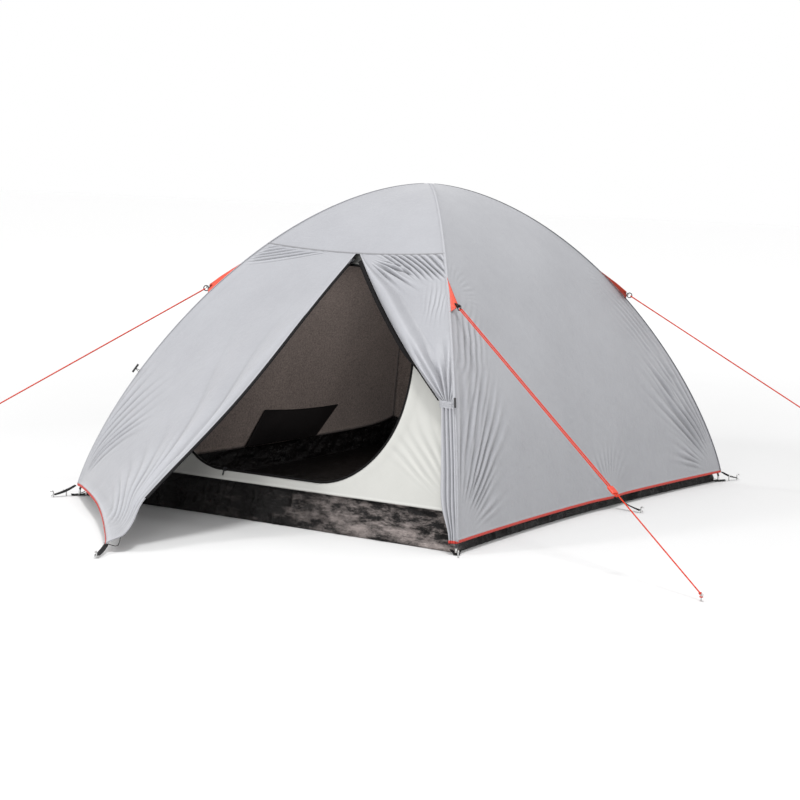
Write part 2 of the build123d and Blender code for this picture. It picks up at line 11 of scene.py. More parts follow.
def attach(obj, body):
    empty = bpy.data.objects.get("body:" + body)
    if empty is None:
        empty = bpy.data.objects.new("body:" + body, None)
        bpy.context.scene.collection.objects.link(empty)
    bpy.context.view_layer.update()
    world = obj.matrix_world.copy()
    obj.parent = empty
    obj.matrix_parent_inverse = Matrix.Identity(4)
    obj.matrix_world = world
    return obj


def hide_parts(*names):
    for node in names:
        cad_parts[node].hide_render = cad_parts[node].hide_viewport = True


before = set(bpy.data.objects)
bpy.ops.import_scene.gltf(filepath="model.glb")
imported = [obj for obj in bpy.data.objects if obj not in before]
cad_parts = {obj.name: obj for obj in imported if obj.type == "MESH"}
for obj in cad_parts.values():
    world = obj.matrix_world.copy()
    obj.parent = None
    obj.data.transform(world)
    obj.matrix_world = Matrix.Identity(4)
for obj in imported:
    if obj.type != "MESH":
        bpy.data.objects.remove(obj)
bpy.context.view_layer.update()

# Shape of the tent, as in the CAD -------------------------------------------------------------------
WIDTH, DEPTH, HEIGHT = 1.730, 2.250, 1.250
ARCH_POWER, ARCH_ROUND = 1.327, 0.562
HEM_Z, SEAM_Z, TIE_Z, TUB_Z, GUY_Z = 0.045, 0.994, 0.485, 0.130, 0.853
INNER_INSET = 0.036
PEAK = np.array([-0.030, -1.888, 0.028])
ZIP_TOP = np.array([0.036, -0.562, 0.966])
CORNERS = {"front_right": (1, -1), "back_right": (1, 1), "back_left": (-1, 1), "front_left": (-1, -1)}
FACINGS = {"right": (1, 0), "back": (0, 1), "left": (-1, 0), "front": (0, -1)}
UP = np.array([0.0, 0.0, 1.0])


def arch(half_span, z, inset=0.0):
    """Distance from the tent's axis and height of the arch at z, moved in at right angles by inset."""
    t = np.clip(np.asarray(z, float) / HEIGHT, 1e-6, 1 - 1e-9)
    fall = 1 - t**ARCH_POWER
    slope = -half_span * ARCH_ROUND * ARCH_POWER * t ** (ARCH_POWER - 1) * fall ** (ARCH_ROUND - 1) / HEIGHT
    length = np.hypot(1, slope)
    return half_span * fall**ARCH_ROUND - inset / length, z + inset * slope / length


def ridge(z, side_x, side_y, inset=0.0):
    """Points of the ridge over one corner, at heights z."""
    half_span = np.hypot(WIDTH, DEPTH) / 2
    reach, height = arch(half_span, z, inset)
    share = reach / half_span
    return np.stack([side_x * WIDTH / 2 * share, side_y * DEPTH / 2 * share, height + 0 * share], -1)


# Small numeric helpers ------------------------------------------------------------------------------
def smooth(low, high, x):
    """0 below low, 1 above high, smooth between; falls instead if low is above high."""
    t = np.clip((x - low) / (high - low), 0, 1)
    return t * t * (3 - 2 * t)


def noise(x, y, seed):
    """Smooth noise from -1 to 1 on a unit lattice."""
    lattice = np.random.RandomState(seed).uniform(-1, 1, (64, 64))
    xi, yi = np.floor(x).astype(int), np.floor(y).astype(int)
    fx, fy = x - xi, y - yi
    fx, fy = fx * fx * (3 - 2 * fx), fy * fy * (3 - 2 * fy)
    low = lattice[xi % 64, yi % 64] * (1 - fx) + lattice[(xi + 1) % 64, yi % 64] * fx
    high = lattice[xi % 64, (yi + 1) % 64] * (1 - fx) + lattice[(xi + 1) % 64, (yi + 1) % 64] * fx
    return low * (1 - fy) + high * fy


def folds(phase, sharpness=1.6):
    """Rounded folds with narrow valleys, from -1 to 1, one per unit of phase."""
    wave = 0.5 + 0.5 * np.cos(2 * pi * phase)
    return 2 * wave ** (1 / sharpness) - 1


def fan(x, y, at, towards, spread, count, reach, seed, inner=0.02):
    """Creases that radiate from a point of the cloth: the height of the folds, from -1 to 1.

    at is the point, towards the middle direction in degrees, spread the half angle, count the folds in
    the whole fan, and reach the distance at which they have died out.
    """
    dx, dy = x - at[0], y - at[1]
    distance = np.hypot(dx, dy)
    angle = (np.degrees(np.arctan2(dy, dx)) - towards + 180) % 360 - 180
    wander = 0.35 * noise(distance / reach * 3 + 7, angle / spread * 3 + 11, seed)
    uneven = 0.6 + 0.4 * noise(distance / reach * 2 + 3, angle / spread * count / 3 + 5, seed + 1)
    window = smooth(1.0, 0.6, np.abs(angle) / spread) * smooth(inner, 0.3 * reach, distance)
    window *= smooth(reach, 0.4 * reach, distance)
    window *= smooth(0.010, 0.030, 2 * np.radians(spread) / count * distance)  # none where they are too close
    return folds(angle / (2 * spread) * count + wander) * uneven * window


def normals_of(grid):
    """Unit normals of a grid of points."""
    across = np.gradient(grid, axis=0)
    along = np.gradient(grid, axis=1)
    normal = np.cross(across, along)
    return normal / np.maximum(np.linalg.norm(normal, axis=-1, keepdims=True), 1e-12)


def arc_lengths(points):
    """Distance along a row of points, from its first."""
    steps = np.linalg.norm(np.diff(points, axis=0), axis=1)
    return np.concatenate([[0], np.cumsum(steps)])


def unit(v):
    return np.asarray(v, float) / np.linalg.norm(v)


def units(rows):
    """Each row at unit length."""
    return rows / np.linalg.norm(rows, axis=1, keepdims=True)


# Meshes ---------------------------------------------------------------------------------------------
def finish_piece(obj, material=None, replaces=()):
    """Gives a new piece its material and slot, the still body, and the CAD nodes it stands for."""
    if material is not None:
        obj.data.materials.append(material)
    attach(obj, "tent")
    if replaces:
        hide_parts(*replaces)
    return obj


def add_mesh(name, vertices, faces, uvs=None, flat=False):
    mesh = bpy.data.meshes.new(name)
    mesh.from_pydata([tuple(map(float, v)) for v in vertices], [], faces)
    if uvs is not None:
        layer = mesh.uv_layers.new(name="UVMap")
        loop_vertices = np.zeros(len(mesh.loops), dtype=np.int32)
        mesh.loops.foreach_get("vertex_index", loop_vertices)
        layer.data.foreach_set("uv", np.asarray(uvs, float)[loop_vertices].ravel())
    mesh.shade_flat() if flat else mesh.shade_smooth()
    obj = bpy.data.objects.new(name, mesh)
    bpy.context.scene.collection.objects.link(obj)
    return obj


def cloth_grid(name, grid, uv=None, thickness=0.0006, keep=None, close=False):
    """A sheet of cloth over a grid of points, thickened on both sides. keep masks the cells."""
    rows, columns = grid.shape[:2]
    if uv is None:
        u = np.mean([arc_lengths(grid[:, j]) for j in range(0, columns, max(1, columns // 8))], axis=0)
        v = np.mean([arc_lengths(grid[i]) for i in range(0, rows, max(1, rows // 8))], axis=0)
        uv = np.stack(np.meshgrid(u, v, indexing="ij"), -1)
    faces = []
    last = columns if close else columns - 1
    for i in range(rows - 1):
        for j in range(last):
            if keep is None or keep[i, j]:
                k = (j + 1) % columns
                faces.append((i * columns + j, (i + 1) * columns + j, (i + 1) * columns + k, i * columns + k))
    obj = add_mesh(name, grid.reshape(-1, 3), faces, uv.reshape(-1, 2))
    if keep is not None:
        drop_loose(obj)
    thicken(obj, thickness)
    return obj


def drop_loose(obj):
    """Removes vertices that no face uses."""
    cells = bmesh.new()
    cells.from_mesh(obj.data)
    bmesh.ops.delete(cells, geom=[v for v in cells.verts if not v.link_faces], context="VERTS")
    cells.to_mesh(obj.data)
    cells.free()


def thicken(obj, thickness):
    """Gives a sheet its thickness."""
    solid = obj.modifiers.new("thickness", "SOLIDIFY")
    solid.thickness = thickness
    solid.offset = 0.0
    solid.use_rim = True


def ribbon(name, path, side, width, thickness=0.0008, lift=0.0, rows=3, crown=0.0):
    """A flat strip along a path. side is the direction of its width at each point of the path."""
    path = np.asarray(path, float)
    side = np.broadcast_to(np.asarray(side, float), path.shape)
    side = units(side)
    run = np.gradient(path, axis=0)
    out = units(np.cross(run, side))
    across = np.linspace(-0.5, 0.5, rows)
    reach = np.broadcast_to(width, len(path))[:, None]
    grid = np.stack([path + side * reach * a + out * (lift + crown * (1 - 4 * a * a)) for a in across], 1)
    uv = np.stack(np.meshgrid(arc_lengths(path), across * float(reach.max()), indexing="ij"), -1)
    return cloth_grid(name, grid, uv, thickness)


def tube(name, path, radius, sides=10, squash=1.0, flat_side=None, caps=True, taper=None):
    """A closed tube along a path. squash flattens it; flat_side is the direction of its short axis."""
    path = np.asarray(path, float)
    run = units(np.gradient(path, axis=0))
    reference = np.asarray(flat_side if flat_side is not None else (0.0, 0.0, 1.0), float)
    reference = np.broadcast_to(reference, path.shape).copy()
    clash = np.abs(np.sum(reference * run, axis=1)) > 0.98
    reference[clash] = (1.0, 0.0, 0.0)
    side = units(np.cross(run, reference))
    top = np.cross(side, run)
    turn = np.linspace(0, 2 * pi, sides, endpoint=False)
    scale = np.ones(len(path)) if taper is None else np.asarray(taper, float)
    grid = np.stack(
        [path + radius * scale[:, None] * (side * cos(a) + top * sin(a) * squash) for a in turn], 1
    )
    rows = len(path)
    faces = []
    for i in range(rows - 1):
        for j in range(sides):
            k = (j + 1) % sides
            faces.append((i * sides + j, i * sides + k, (i + 1) * sides + k, (i + 1) * sides + j))
    if caps:
        faces.append(tuple(range(sides - 1, -1, -1)))
        faces.append(tuple((rows - 1) * sides + j for j in range(sides)))
    uv = np.stack(np.meshgrid(arc_lengths(path), turn * radius, indexing="ij"), -1)
    return add_mesh(name, grid.reshape(-1, 3), faces, uv.reshape(-1, 2))


def join(name, pieces):
    """One object from several meshes, with their modifiers applied."""
    whole = bmesh.new()
    depsgraph = bpy.context.evaluated_depsgraph_get()
    for piece in pieces:
        done = piece.evaluated_get(depsgraph).to_mesh()
        done.transform(piece.matrix_world)
        whole.from_mesh(done)
        piece.evaluated_get(depsgraph).to_mesh_clear()
    mesh = bpy.data.meshes.new(name)
    whole.to_mesh(mesh)
    whole.free()
    mesh.shade_smooth()
    for piece in pieces:
        bpy.data.objects.remove(piece)
    obj = bpy.data.objects.new(name, mesh)
    bpy.context.scene.collection.objects.link(obj)
    return obj


# Materials ------------------------------------------------------------------------------------------
class Nodes:
    """A short way to write a material's node tree."""

    def __init__(self, name):
        self.material = bpy.data.materials.new(name)
        self.material.use_nodes = True
        self.tree = self.material.node_tree
        self.shader = self.tree.nodes["Principled BSDF"]

    def add(self, kind, **values):
        node = self.tree.nodes.new(kind)
        for key, value in values.items():
            if key in node.inputs:
                node.inputs[key].default_value = value
            else:
                setattr(node, key, value)
        return node

    def link(self, source, target):
        self.tree.links.new(source, target)

    def coordinates(self, uv=False):
        return self.add("ShaderNodeTexCoord").outputs["UV" if uv else "Object"]

    def noise(self, at, scale, detail=3.0, roughness=0.5, stretch=None):
        if stretch is not None:
            mapping = self.add("ShaderNodeMapping")
            mapping.inputs["Scale"].default_value = stretch
            self.link(at, mapping.inputs["Vector"])
            at = mapping.outputs["Vector"]
        node = self.add("ShaderNodeTexNoise", Scale=scale, Detail=detail, Roughness=roughness)
        self.link(at, node.inputs["Vector"])
        return node.outputs["Fac"]

    def ramp(self, value, low, high, low_colour, high_colour):
        node = self.add("ShaderNodeValToRGB")
        node.color_ramp.elements[0].position = low
        node.color_ramp.elements[1].position = high
        node.color_ramp.elements[0].color = (*low_colour, 1)
        node.color_ramp.elements[1].color = (*high_colour, 1)
        self.link(value, node.inputs["Fac"])
        return node.outputs["Color"]

    def span(self, value, low, high):
        node = self.add("ShaderNodeMapRange")
        node.inputs["To Min"].default_value = low
        node.inputs["To Max"].default_value = high
        self.link(value, node.inputs["Value"])
        return node.outputs["Result"]

    def math(self, operation, a, b=None, clamp=False):
        node = self.add("ShaderNodeMath", operation=operation, use_clamp=clamp)
        for value, socket in ((a, node.inputs[0]), (b, node.inputs[1])):
            if value is None:
                continue
            if isinstance(value, (int, float)):
                socket.default_value = value
            else:
                self.link(value, socket)
        return node.outputs["Value"]

    def bump(self, heights):
        """Chains bumps, each given as (height socket, strength, distance)."""
        before = None
        for height, strength, distance in heights:
            node = self.add("ShaderNodeBump", Strength=strength, Distance=distance)
            self.link(height, node.inputs["Height"])
            if before is not None:
                self.link(before, node.inputs["Normal"])
            before = node.outputs["Normal"]
        self.link(before, self.shader.inputs["Normal"])

    def weave(self, at, pitch):
        """Height of a plain weave with threads a pitch apart, in both directions of at."""
        parts = self.add("ShaderNodeSeparateXYZ")
        self.link(at, parts.inputs["Vector"])
        turns = [self.math("MULTIPLY", parts.outputs[axis], 2 * pi / pitch) for axis in ("X", "Y")]
        waves = [self.math("SINE", turn) for turn in turns]
        return self.math("MULTIPLY", waves[0], waves[1])


# Painted shade and painted highlight: the base colour is darkened in the valleys of folds, and lightened on
# their crests, by the curvature of the mesh
CURVE_VALLEY, CURVE_CREST, PAINTED_SHADE_VALLEY, PAINTED_LIGHT_CREST = 0.470, 0.515, 0.66, 1.05


def cloth_material(
    name, light, dark, roughness=0.5, pitch=0.0016, crumple=0.3, sheen=0.15, grain=0.35, gloss=0.5,
    grain_scale=420.0
):
    """Woven, coated cloth: slow colour change, fine grain, threads and small crumples, with painted shade in
    the valleys of folds and a painted highlight on their crests.
    """
    m = Nodes(name)
    at = m.coordinates()
    slow = m.noise(at, 2.6, 4.0, 0.6)
    fine = m.noise(at, grain_scale, 2.0, 0.6)
    blend = m.math("ADD", m.math("MULTIPLY", slow, 1 - grain), m.math("MULTIPLY", fine, grain))
    # painted shade in fold valleys and painted highlight on crests, scaled from the mesh's curvature
    crease = m.add("ShaderNodeMapRange")
    m.link(m.add("ShaderNodeNewGeometry").outputs["Pointiness"], crease.inputs["Value"])
    for socket, value in zip(
        ("From Min", "From Max", "To Min", "To Max"), (CURVE_VALLEY, CURVE_CREST, PAINTED_SHADE_VALLEY, PAINTED_LIGHT_CREST)
    ):
        crease.inputs[socket].default_value = value
    painted_fold_shade = m.add("ShaderNodeVectorMath", operation="SCALE")
    m.link(m.ramp(blend, 0.32, 0.68, dark, light), painted_fold_shade.inputs[0])
    m.link(crease.outputs["Result"], painted_fold_shade.inputs["Scale"])
    m.link(painted_fold_shade.outputs["Vector"], m.shader.inputs["Base Color"])
    m.link(m.span(m.noise(at, 9.0, 3.0), roughness - 0.07, roughness + 0.09), m.shader.inputs["Roughness"])
    m.shader.inputs["Sheen Weight"].default_value = sheen
    m.shader.inputs["Sheen Roughness"].default_value = 0.5
    m.shader.inputs["Specular IOR Level"].default_value = gloss
    m.bump(
        [
            (m.noise(at, 22.0, 5.0, 0.62), crumple, 0.006),
            (m.weave(m.coordinates(uv=True), pitch), 0.25, 0.0003),
        ]
    )
    return m.material


def stitched_material(
    name, light, dark, roughness=0.6, pitch=0.0012, stitch=None, rows=(0.25,), step=0.004, gloss=0.5
):
    """Tape or webbing along its own U axis, with rows of stitches at shares of the width."""
    m = Nodes(name)
    at, uv = m.coordinates(), m.coordinates(uv=True)
    blend = m.noise(at, 260.0, 2.0, 0.6)
    colour = m.ramp(blend, 0.3, 0.7, dark, light)
    parts = m.add("ShaderNodeSeparateXYZ")
    m.link(uv, parts.inputs["Vector"])
    heights = [(m.weave(uv, pitch), 0.5, 0.0004), (m.noise(at, 60.0, 3.0), 0.2, 0.002)]
    if stitch is not None:
        dash = m.math(
            "GREATER_THAN", m.math("SINE", m.math("MULTIPLY", parts.outputs["X"], 2 * pi / step)), -0.35
        )
        line = None
        for row in rows:
            near = m.math(
                "LESS_THAN", m.math("ABSOLUTE", m.math("SUBTRACT", parts.outputs["Y"], row)), 0.0005
            )
            line = near if line is None else m.math("MAXIMUM", line, near)
        mask = m.math("MULTIPLY", dash, line)
        mixed = m.add("ShaderNodeMix", data_type="RGBA")
        m.link(mask, mixed.inputs["Factor"])
        m.link(colour, mixed.inputs[6])
        mixed.inputs[7].default_value = (*stitch, 1)
        colour = mixed.outputs[2]
        heights.append((mask, 0.8, 0.0005))
    m.link(colour, m.shader.inputs["Base Color"])
    m.shader.inputs["Roughness"].default_value = roughness
    m.shader.inputs["Specular IOR Level"].default_value = gloss
    m.bump(heights)
    return m.material


def hard_material(name, light, dark, roughness=0.4, metallic=0.0, scale=90.0, scratch=0.15):
    """Moulded plastic or metal with fine grain and a little wear."""
    m = Nodes(name)
    at = m.coordinates()
    wear = m.noise(at, scale, 4.0, 0.6)
    m.link(m.ramp(wear, 0.35, 0.7, dark, light), m.shader.inputs["Base Color"])
    m.link(
        m.span(m.noise(at, scale * 2.5, 3.0), roughness - 0.1, roughness + 0.12), m.shader.inputs["Roughness"]
    )
    m.shader.inputs["Metallic"].default_value = metallic
    m.bump([(m.noise(at, scale * 6, 2.0), scratch, 0.0003)])
    return m.material


def film_material(name):
    """Black laminated sheet: crinkled, with painted highlights in streaks near the open corner, standing in
    for reflections off its creases.
    """
    m = Nodes(name)
    at = m.coordinates()
    place = m.add("ShaderNodeSeparateXYZ")
    m.link(at, place.inputs["Vector"])
    streaks = m.noise(at, 5.0, 8.0, 0.78, stretch=(1.0, 1.0, 3.2))
    # Where the highlights are painted: the front strip, more of them towards the right
    painted_gloss_area = m.math("MULTIPLY", m.math("SUBTRACT", place.outputs["X"], -0.25), 1.15, clamp=True)
    painted_gloss_area = m.math(
        "MULTIPLY", painted_gloss_area,
        m.math("MULTIPLY", m.math("SUBTRACT", -1.02, place.outputs["Y"]), 20.0, clamp=True)
    )
    least = m.math("SUBTRACT", 0.53, m.math("MULTIPLY", painted_gloss_area, 0.09))
    sharp = m.math("MULTIPLY", m.math("SUBTRACT", streaks, least), 6.0, clamp=True)
    painted_highlight = m.math("MULTIPLY", sharp, m.math("ADD", m.math("MULTIPLY", painted_gloss_area, 0.97), 0.03))
    # Base colour from black to pale brown-grey in the streaks: painted highlights
    m.link(
        m.ramp(painted_highlight, 0.0, 1.0, (0.0022, 0.0014, 0.0014), (0.33, 0.285, 0.27)), m.shader.inputs["Base Color"]
    )
    m.link(m.span(m.noise(at, 30.0, 3.0), 0.24, 0.46), m.shader.inputs["Roughness"])
    m.shader.inputs["Specular IOR Level"].default_value = 0.28
    m.bump([(streaks, 0.9, 0.030), (m.noise(at, 45.0, 4.0, 0.65), 0.5, 0.004)])
    return m.material


FLY_LIGHT, FLY_DARK = (0.325, 0.330, 0.352), (0.272, 0.275, 0.296)
fly_cloth = cloth_material("fly_cloth", FLY_LIGHT, FLY_DARK, roughness=0.46, crumple=0.6, grain_scale=240.0)
fly_inside = cloth_material("fly_cloth_inside", (0.22, 0.22, 0.23), (0.17, 0.17, 0.18), roughness=0.6)
inner_cloth = cloth_material(
    "inner_cloth", (0.47, 0.47, 0.447), (0.41, 0.41, 0.388), roughness=0.75, crumple=0.2, sheen=0.3
)
# Inner faces of the inner tent: the same cloth made darker and browner, painted shade for the unlit inside of
# the tent
inner_inside_painted_shade = cloth_material(
    "inner_cloth_inside_painted_shade", (0.27, 0.215, 0.190), (0.095, 0.072, 0.063), roughness=0.85, crumple=0.25, sheen=0.1,
    grain=0.75, grain_scale=150.0,
)
film = film_material("groundsheet_film")
mesh_cloth = cloth_material(
    "pocket_mesh", (0.010, 0.008, 0.008), (0.004, 0.003, 0.003), roughness=0.8, pitch=0.003, sheen=0.0,
    gloss=0.15
)
trim_cloth = cloth_material(
    "trim_cloth", (0.60, 0.048, 0.014), (0.50, 0.036, 0.010), roughness=0.5, pitch=0.0012
)
hem_tape = stitched_material(
    "hem_tape", (0.52, 0.032, 0.018), (0.42, 0.024, 0.013), stitch=(0.80, 0.20, 0.14), rows=(0.0,)
)
seam_tape = stitched_material(
    "seam_tape", (0.37, 0.375, 0.398), (0.32, 0.324, 0.345), roughness=0.5,
    stitch=(0.25, 0.25, 0.27), rows=(-0.0035, 0.0035),
)
zip_tape = stitched_material(
    "zip_tape", (0.008, 0.007, 0.008), (0.004, 0.004, 0.004), roughness=0.8, pitch=0.001, gloss=0.15
)
webbing = stitched_material(
    "webbing", (0.012, 0.011, 0.012), (0.006, 0.006, 0.006), roughness=0.75, pitch=0.0018,
    stitch=(0.05, 0.05, 0.05), rows=(-0.005, 0.005), gloss=0.2
)
cord_braid = stitched_material(
    "cord_braid", (0.62, 0.040, 0.011), (0.46, 0.024, 0.007), roughness=0.7, pitch=0.0016, gloss=0.2
)
black_plastic = hard_material("black_plastic", (0.014, 0.014, 0.015), (0.007, 0.007, 0.008), roughness=0.42)
red_plastic = hard_material("red_plastic", (0.60, 0.042, 0.013), (0.50, 0.032, 0.010), roughness=0.4)
dark_metal = hard_material(
    "dark_metal", (0.16, 0.16, 0.17), (0.07, 0.07, 0.075), roughness=0.35, metallic=0.9
)
bright_metal = hard_material(
    "bright_metal", (0.78, 0.78, 0.76), (0.55, 0.55, 0.54), roughness=0.32, metallic=0.95
)
zinc_steel = hard_material("zinc_steel", (0.60, 0.60, 0.59), (0.40, 0.40, 0.40), roughness=0.38, metallic=0.9)
pole_tube = hard_material("pole_tube", (0.045, 0.045, 0.050), (0.022, 0.022, 0.025), roughness=0.35)

# Camera, light and floor ----------------------------------------------------------------------------
AZIMUTH, YAW, PITCH, ROLL = 0.556, 0.011, -0.115, 0.036
CAMERA_AT = np.array([7.9008 * sin(AZIMUTH), -7.9008 * cos(AZIMUTH), 1.2747])
look = np.array([-sin(AZIMUTH + YAW) * cos(PITCH), cos(AZIMUTH + YAW) * cos(PITCH), sin(PITCH)])
level = unit(np.cross(look, UP))
upright = np.cross(level, look)
camera_right = level * cos(ROLL) + upright * sin(ROLL)
camera_up = upright * cos(ROLL) - level * sin(ROLL)
camera = bpy.data.objects.new("camera", bpy.data.cameras.new("camera"))
bpy.context.scene.collection.objects.link(camera)
camera.data.lens = 87.12
camera.data.sensor_width = 36.0
camera.matrix_world = Matrix(
    [
        (*(float(a) for a in row), float(p)) for row,
        p in zip(np.stack([camera_right, camera_up, -look], 1), CAMERA_AT)
    ]
    + [(0, 0, 0, 1)]
)
bpy.context.scene.camera = camera


def area_light(name, at, aim, size, energy, colour=(1, 1, 1)):
    light = bpy.data.lights.new(name, "AREA")
    light.shape, light.size, light.energy, light.color = "DISK", size, energy, colour
    obj = bpy.data.objects.new(name, light)
    bpy.context.scene.collection.objects.link(obj)
    obj.location = at
    obj.rotation_euler = (Vector(aim) - Vector(at)).to_track_quat("-Z", "Y").to_euler()


area_light("key", (-3.9, -7.2, 4.6), (0, -0.6, 0.5), 1.4, 220)
area_light("top", (1.0, -2.0, 9.0), (0, 0, 0.5), 2.0, 450)
area_light("front", (2.8, -8.0, 1.4), (0, -0.9, 0.3), 1.6, 170)
area_light("through_cloth", (0.1, 0.1, 0.80), (-0.1, 0.1, 0), 0.6, 7.0)
world = bpy.data.worlds.new("studio")
world.use_nodes = True
world.node_tree.nodes["Background"].inputs["Color"].default_value = (1.0, 1.0, 1.0, 1)
world.node_tree.nodes["Background"].inputs["Strength"].default_value = 1.0
bpy.context.scene.world = world
bpy.context.scene.view_settings.view_transform = "Standard"

floor = add_mesh("floor", [(-60, -60, 0), (60, -60, 0), (60, 60, 0), (-60, 60, 0)], [(0, 1, 2, 3)], flat=True)
floor.location.z = -0.0006
floor_paint = Nodes("floor_paint")
floor_far = floor_paint.add("ShaderNodeVectorMath", operation="LENGTH")
floor_paint.link(floor_paint.coordinates(), floor_far.inputs[0])
floor_reach = floor_paint.math("MULTIPLY", floor_far.outputs["Value"], 0.1)
floor_tone = floor_paint.math(
    "ADD", floor_reach, floor_paint.math("MULTIPLY", floor_paint.noise(floor_paint.coordinates(), 1.5), 0.02)
)
floor_paint.link(
    floor_paint.ramp(floor_tone, 0.25, 0.95, (0.62, 0.62, 0.62), (0.99, 0.99, 0.99)),
    floor_paint.shader.inputs["Base Color"]
)
floor_paint.shader.inputs["Roughness"].default_value = 0.85
floor.data.materials.append(floor_paint.material)

# Guy lines ------------------------------------------------------------------------------------------
CORD = 0.0045
NEAR_RING = 0.027  # the strands still part here, six diameters from the ring
GUYS = {
    "front_right": [
        (1.4247, -1.0634, 0.2630), (0.5841, -0.7045, 0.8073), (0.5877, -0.6960, 0.8073),
        (1.8059, -1.2161, 0.0186)
    ],
    "back_right": [
        (1.4284, 1.0549, 0.2630), (0.5877, 0.6960, 0.8073), (0.5841, 0.7045, 0.8073), (1.8022, 1.2245, 0.0186)
    ],
    "back_left": [
        (-1.4247, 1.0634, 0.2630), (-0.5841, 0.7045, 0.8073), (-0.5877, 0.6960, 0.8073),
        (-1.8059, 1.2161, 0.0186)
    ],
    "front_left": [
        (-1.4284, -1.0549, 0.2630), (-0.5877, -0.6960, 0.8073), (-0.5841, -0.7045, 0.8073),
        (-1.8022, -1.2245, 0.0186)
    ],
}


def coil_round(centre, axis, radius, turns, pitch, steps=18):
    """Points of a short helix round an axis."""
    axis = unit(axis)
    side = unit(np.cross(axis, (0.3, 0.5, 0.81)))
    other = np.cross(axis, side)
    k = np.arange(int(steps * turns) + 1) / steps
    along = (k - turns / 2) * pitch
    return (
        np.asarray(centre)
        + np.outer(along, axis)
        + radius * (np.outer(np.cos(2 * pi * k), side) + np.outer(np.sin(2 * pi * k), other))
    )


def add_guy(corner):
    tail, first, second, end = (np.array(p) for p in GUYS[corner])
    down = unit(end - second)
    route = [tail, first + unit(tail - first) * NEAR_RING, first, second, second + down * NEAR_RING, end]
    curve = bpy.data.curves.new(f"guy_{corner}_cord", "CURVE")
    curve.dimensions = "3D"
    curve.bevel_depth = CORD / 2
    curve.bevel_resolution = 4
    curve.use_fill_caps = True
    spline = curve.splines.new("NURBS")
    spline.points.add(len(route) - 1)
    for point, place in zip(spline.points, route):
        point.co = (*place, 1)
    spline.order_u = 3
    spline.use_endpoint_u = True
    spline.resolution_u = 12
    cord = bpy.data.objects.new(f"guy_{corner}_cord", curve)
    bpy.context.scene.collection.objects.link(cord)
    finish_piece(cord, cord_braid, [f"guy_{corner}"])
    # Peg loop with its knot at the far end, and the melted end of the tail
    peg = np.array([np.sign(end[0]) * 1.808, np.sign(end[1]) * 1.222, 0.013])
    turn = np.linspace(0, 2 * pi, 25)
    radius = 0.0026 + CORD * 0.42
    outwards = unit((peg - end) * (1, 1, 0))
    sideways = np.cross(UP, outwards)
    loop = peg + radius * (np.outer(np.cos(turn), outwards) + np.outer(np.sin(turn), sideways))
    pieces = [
        tube("loop", loop, CORD * 0.4, 8, caps=False),
        tube("wraps", coil_round(end - down * 0.004, down, 0.0032, 3.0, 0.0036), CORD * 0.4, 8),
        tube(
            "sealed_end", tail + np.linspace(-0.001, 0.0024, 6)[:, None] * unit(tail - first), CORD / 2, 12,
            taper=(1.04, 1.04, 1, 0.92, 0.75, 0.45)
        ),
    ]
    knots = join(f"guy_{corner}_knots", pieces)
    finish_piece(knots, cord_braid)


for corner in CORNERS:
    add_guy(corner)


# Panels of the vault --------------------------------------------------------------------------------
def even_heights(half_span, low, high, count):
    """Heights evenly spaced along the arch from low to high."""
    z = low + (high - low) * (1 - (1 - np.linspace(0, 1, 3000)) ** 3)
    reach, height = arch(half_span, z)
    length = arc_lengths(np.stack([reach, height], 1))
    return np.interp(np.linspace(0, length[-1], count), length, z)


class Panel:
    """One side of the vault as a grid. a is the level distance from its middle, b the height up the cloth."""

    def __init__(self, facing, low, high, inset, step):
        facing = FACINGS[facing]
        self.half_span, self.half_side = (WIDTH / 2, DEPTH / 2) if facing[0] else (DEPTH / 2, WIDTH / 2)
        self.out = np.array([*facing, 0.0])
        self.along = np.array([-facing[1], facing[0], 0.0])
        self.inset = inset
        rows = int(self.half_span * 1.9 / step)
        columns = int(2 * self.half_side / step)
        z = even_heights(self.half_span, low, min(high, HEIGHT * (1 - 1e-5)), rows)
        reach, height = arch(self.half_span, z, inset)
        reach = np.maximum(reach, 0.0)
        half_width = reach * self.half_side / self.half_span
        self.v = np.linspace(-1, 1, columns)[None, :] + 0 * z[:, None]
        self.z = z[:, None] + 0 * self.v
        self.half_width = half_width[:, None] + 0 * self.v
        self.points = (
            reach[:, None, None] * self.out
            + (self.v * self.half_width)[..., None] * self.along
            + height[:, None, None] * UP
        )
        self.a = self.v * self.half_width
        self.b = arc_lengths(np.stack([reach, height], 1))[:, None] + 0 * self.v
        self.edge = (1 - np.abs(self.v)) * self.half_width
        normal = normals_of(self.points)
        if np.mean(normal @ self.out) < 0:
            normal = -normal
            self.flip = True
        else:
            self.flip = False
        self.normal = normal

    def push(self, height, near_ridge=0.035):
        """Moves the cloth out by height, less and less towards the ridges."""
        self.points = self.points + (height * smooth(0.0, near_ridge, self.edge))[..., None] * self.normal

    def bow_hem(self, depth, height=0.28):
        """Pulls the lower edge in between its corners."""
        low = self.z.min()
        fade = np.exp(-(((self.z - low) / height) ** 2))
        self.points = self.points - (depth * (1 - self.v**2) * fade)[..., None] * self.out

    def build(self, name, thickness=0.0006, keep=None):
        grid = self.points
        uv = np.stack([self.a, self.b], -1)
        if self.flip:
            grid, uv = grid[:, ::-1], uv[:, ::-1]
            keep = None if keep is None else keep[:, ::-1]
        return cloth_grid(name, grid, uv, thickness, keep)

    def row(self, i=0):
        return self.points[i].copy()


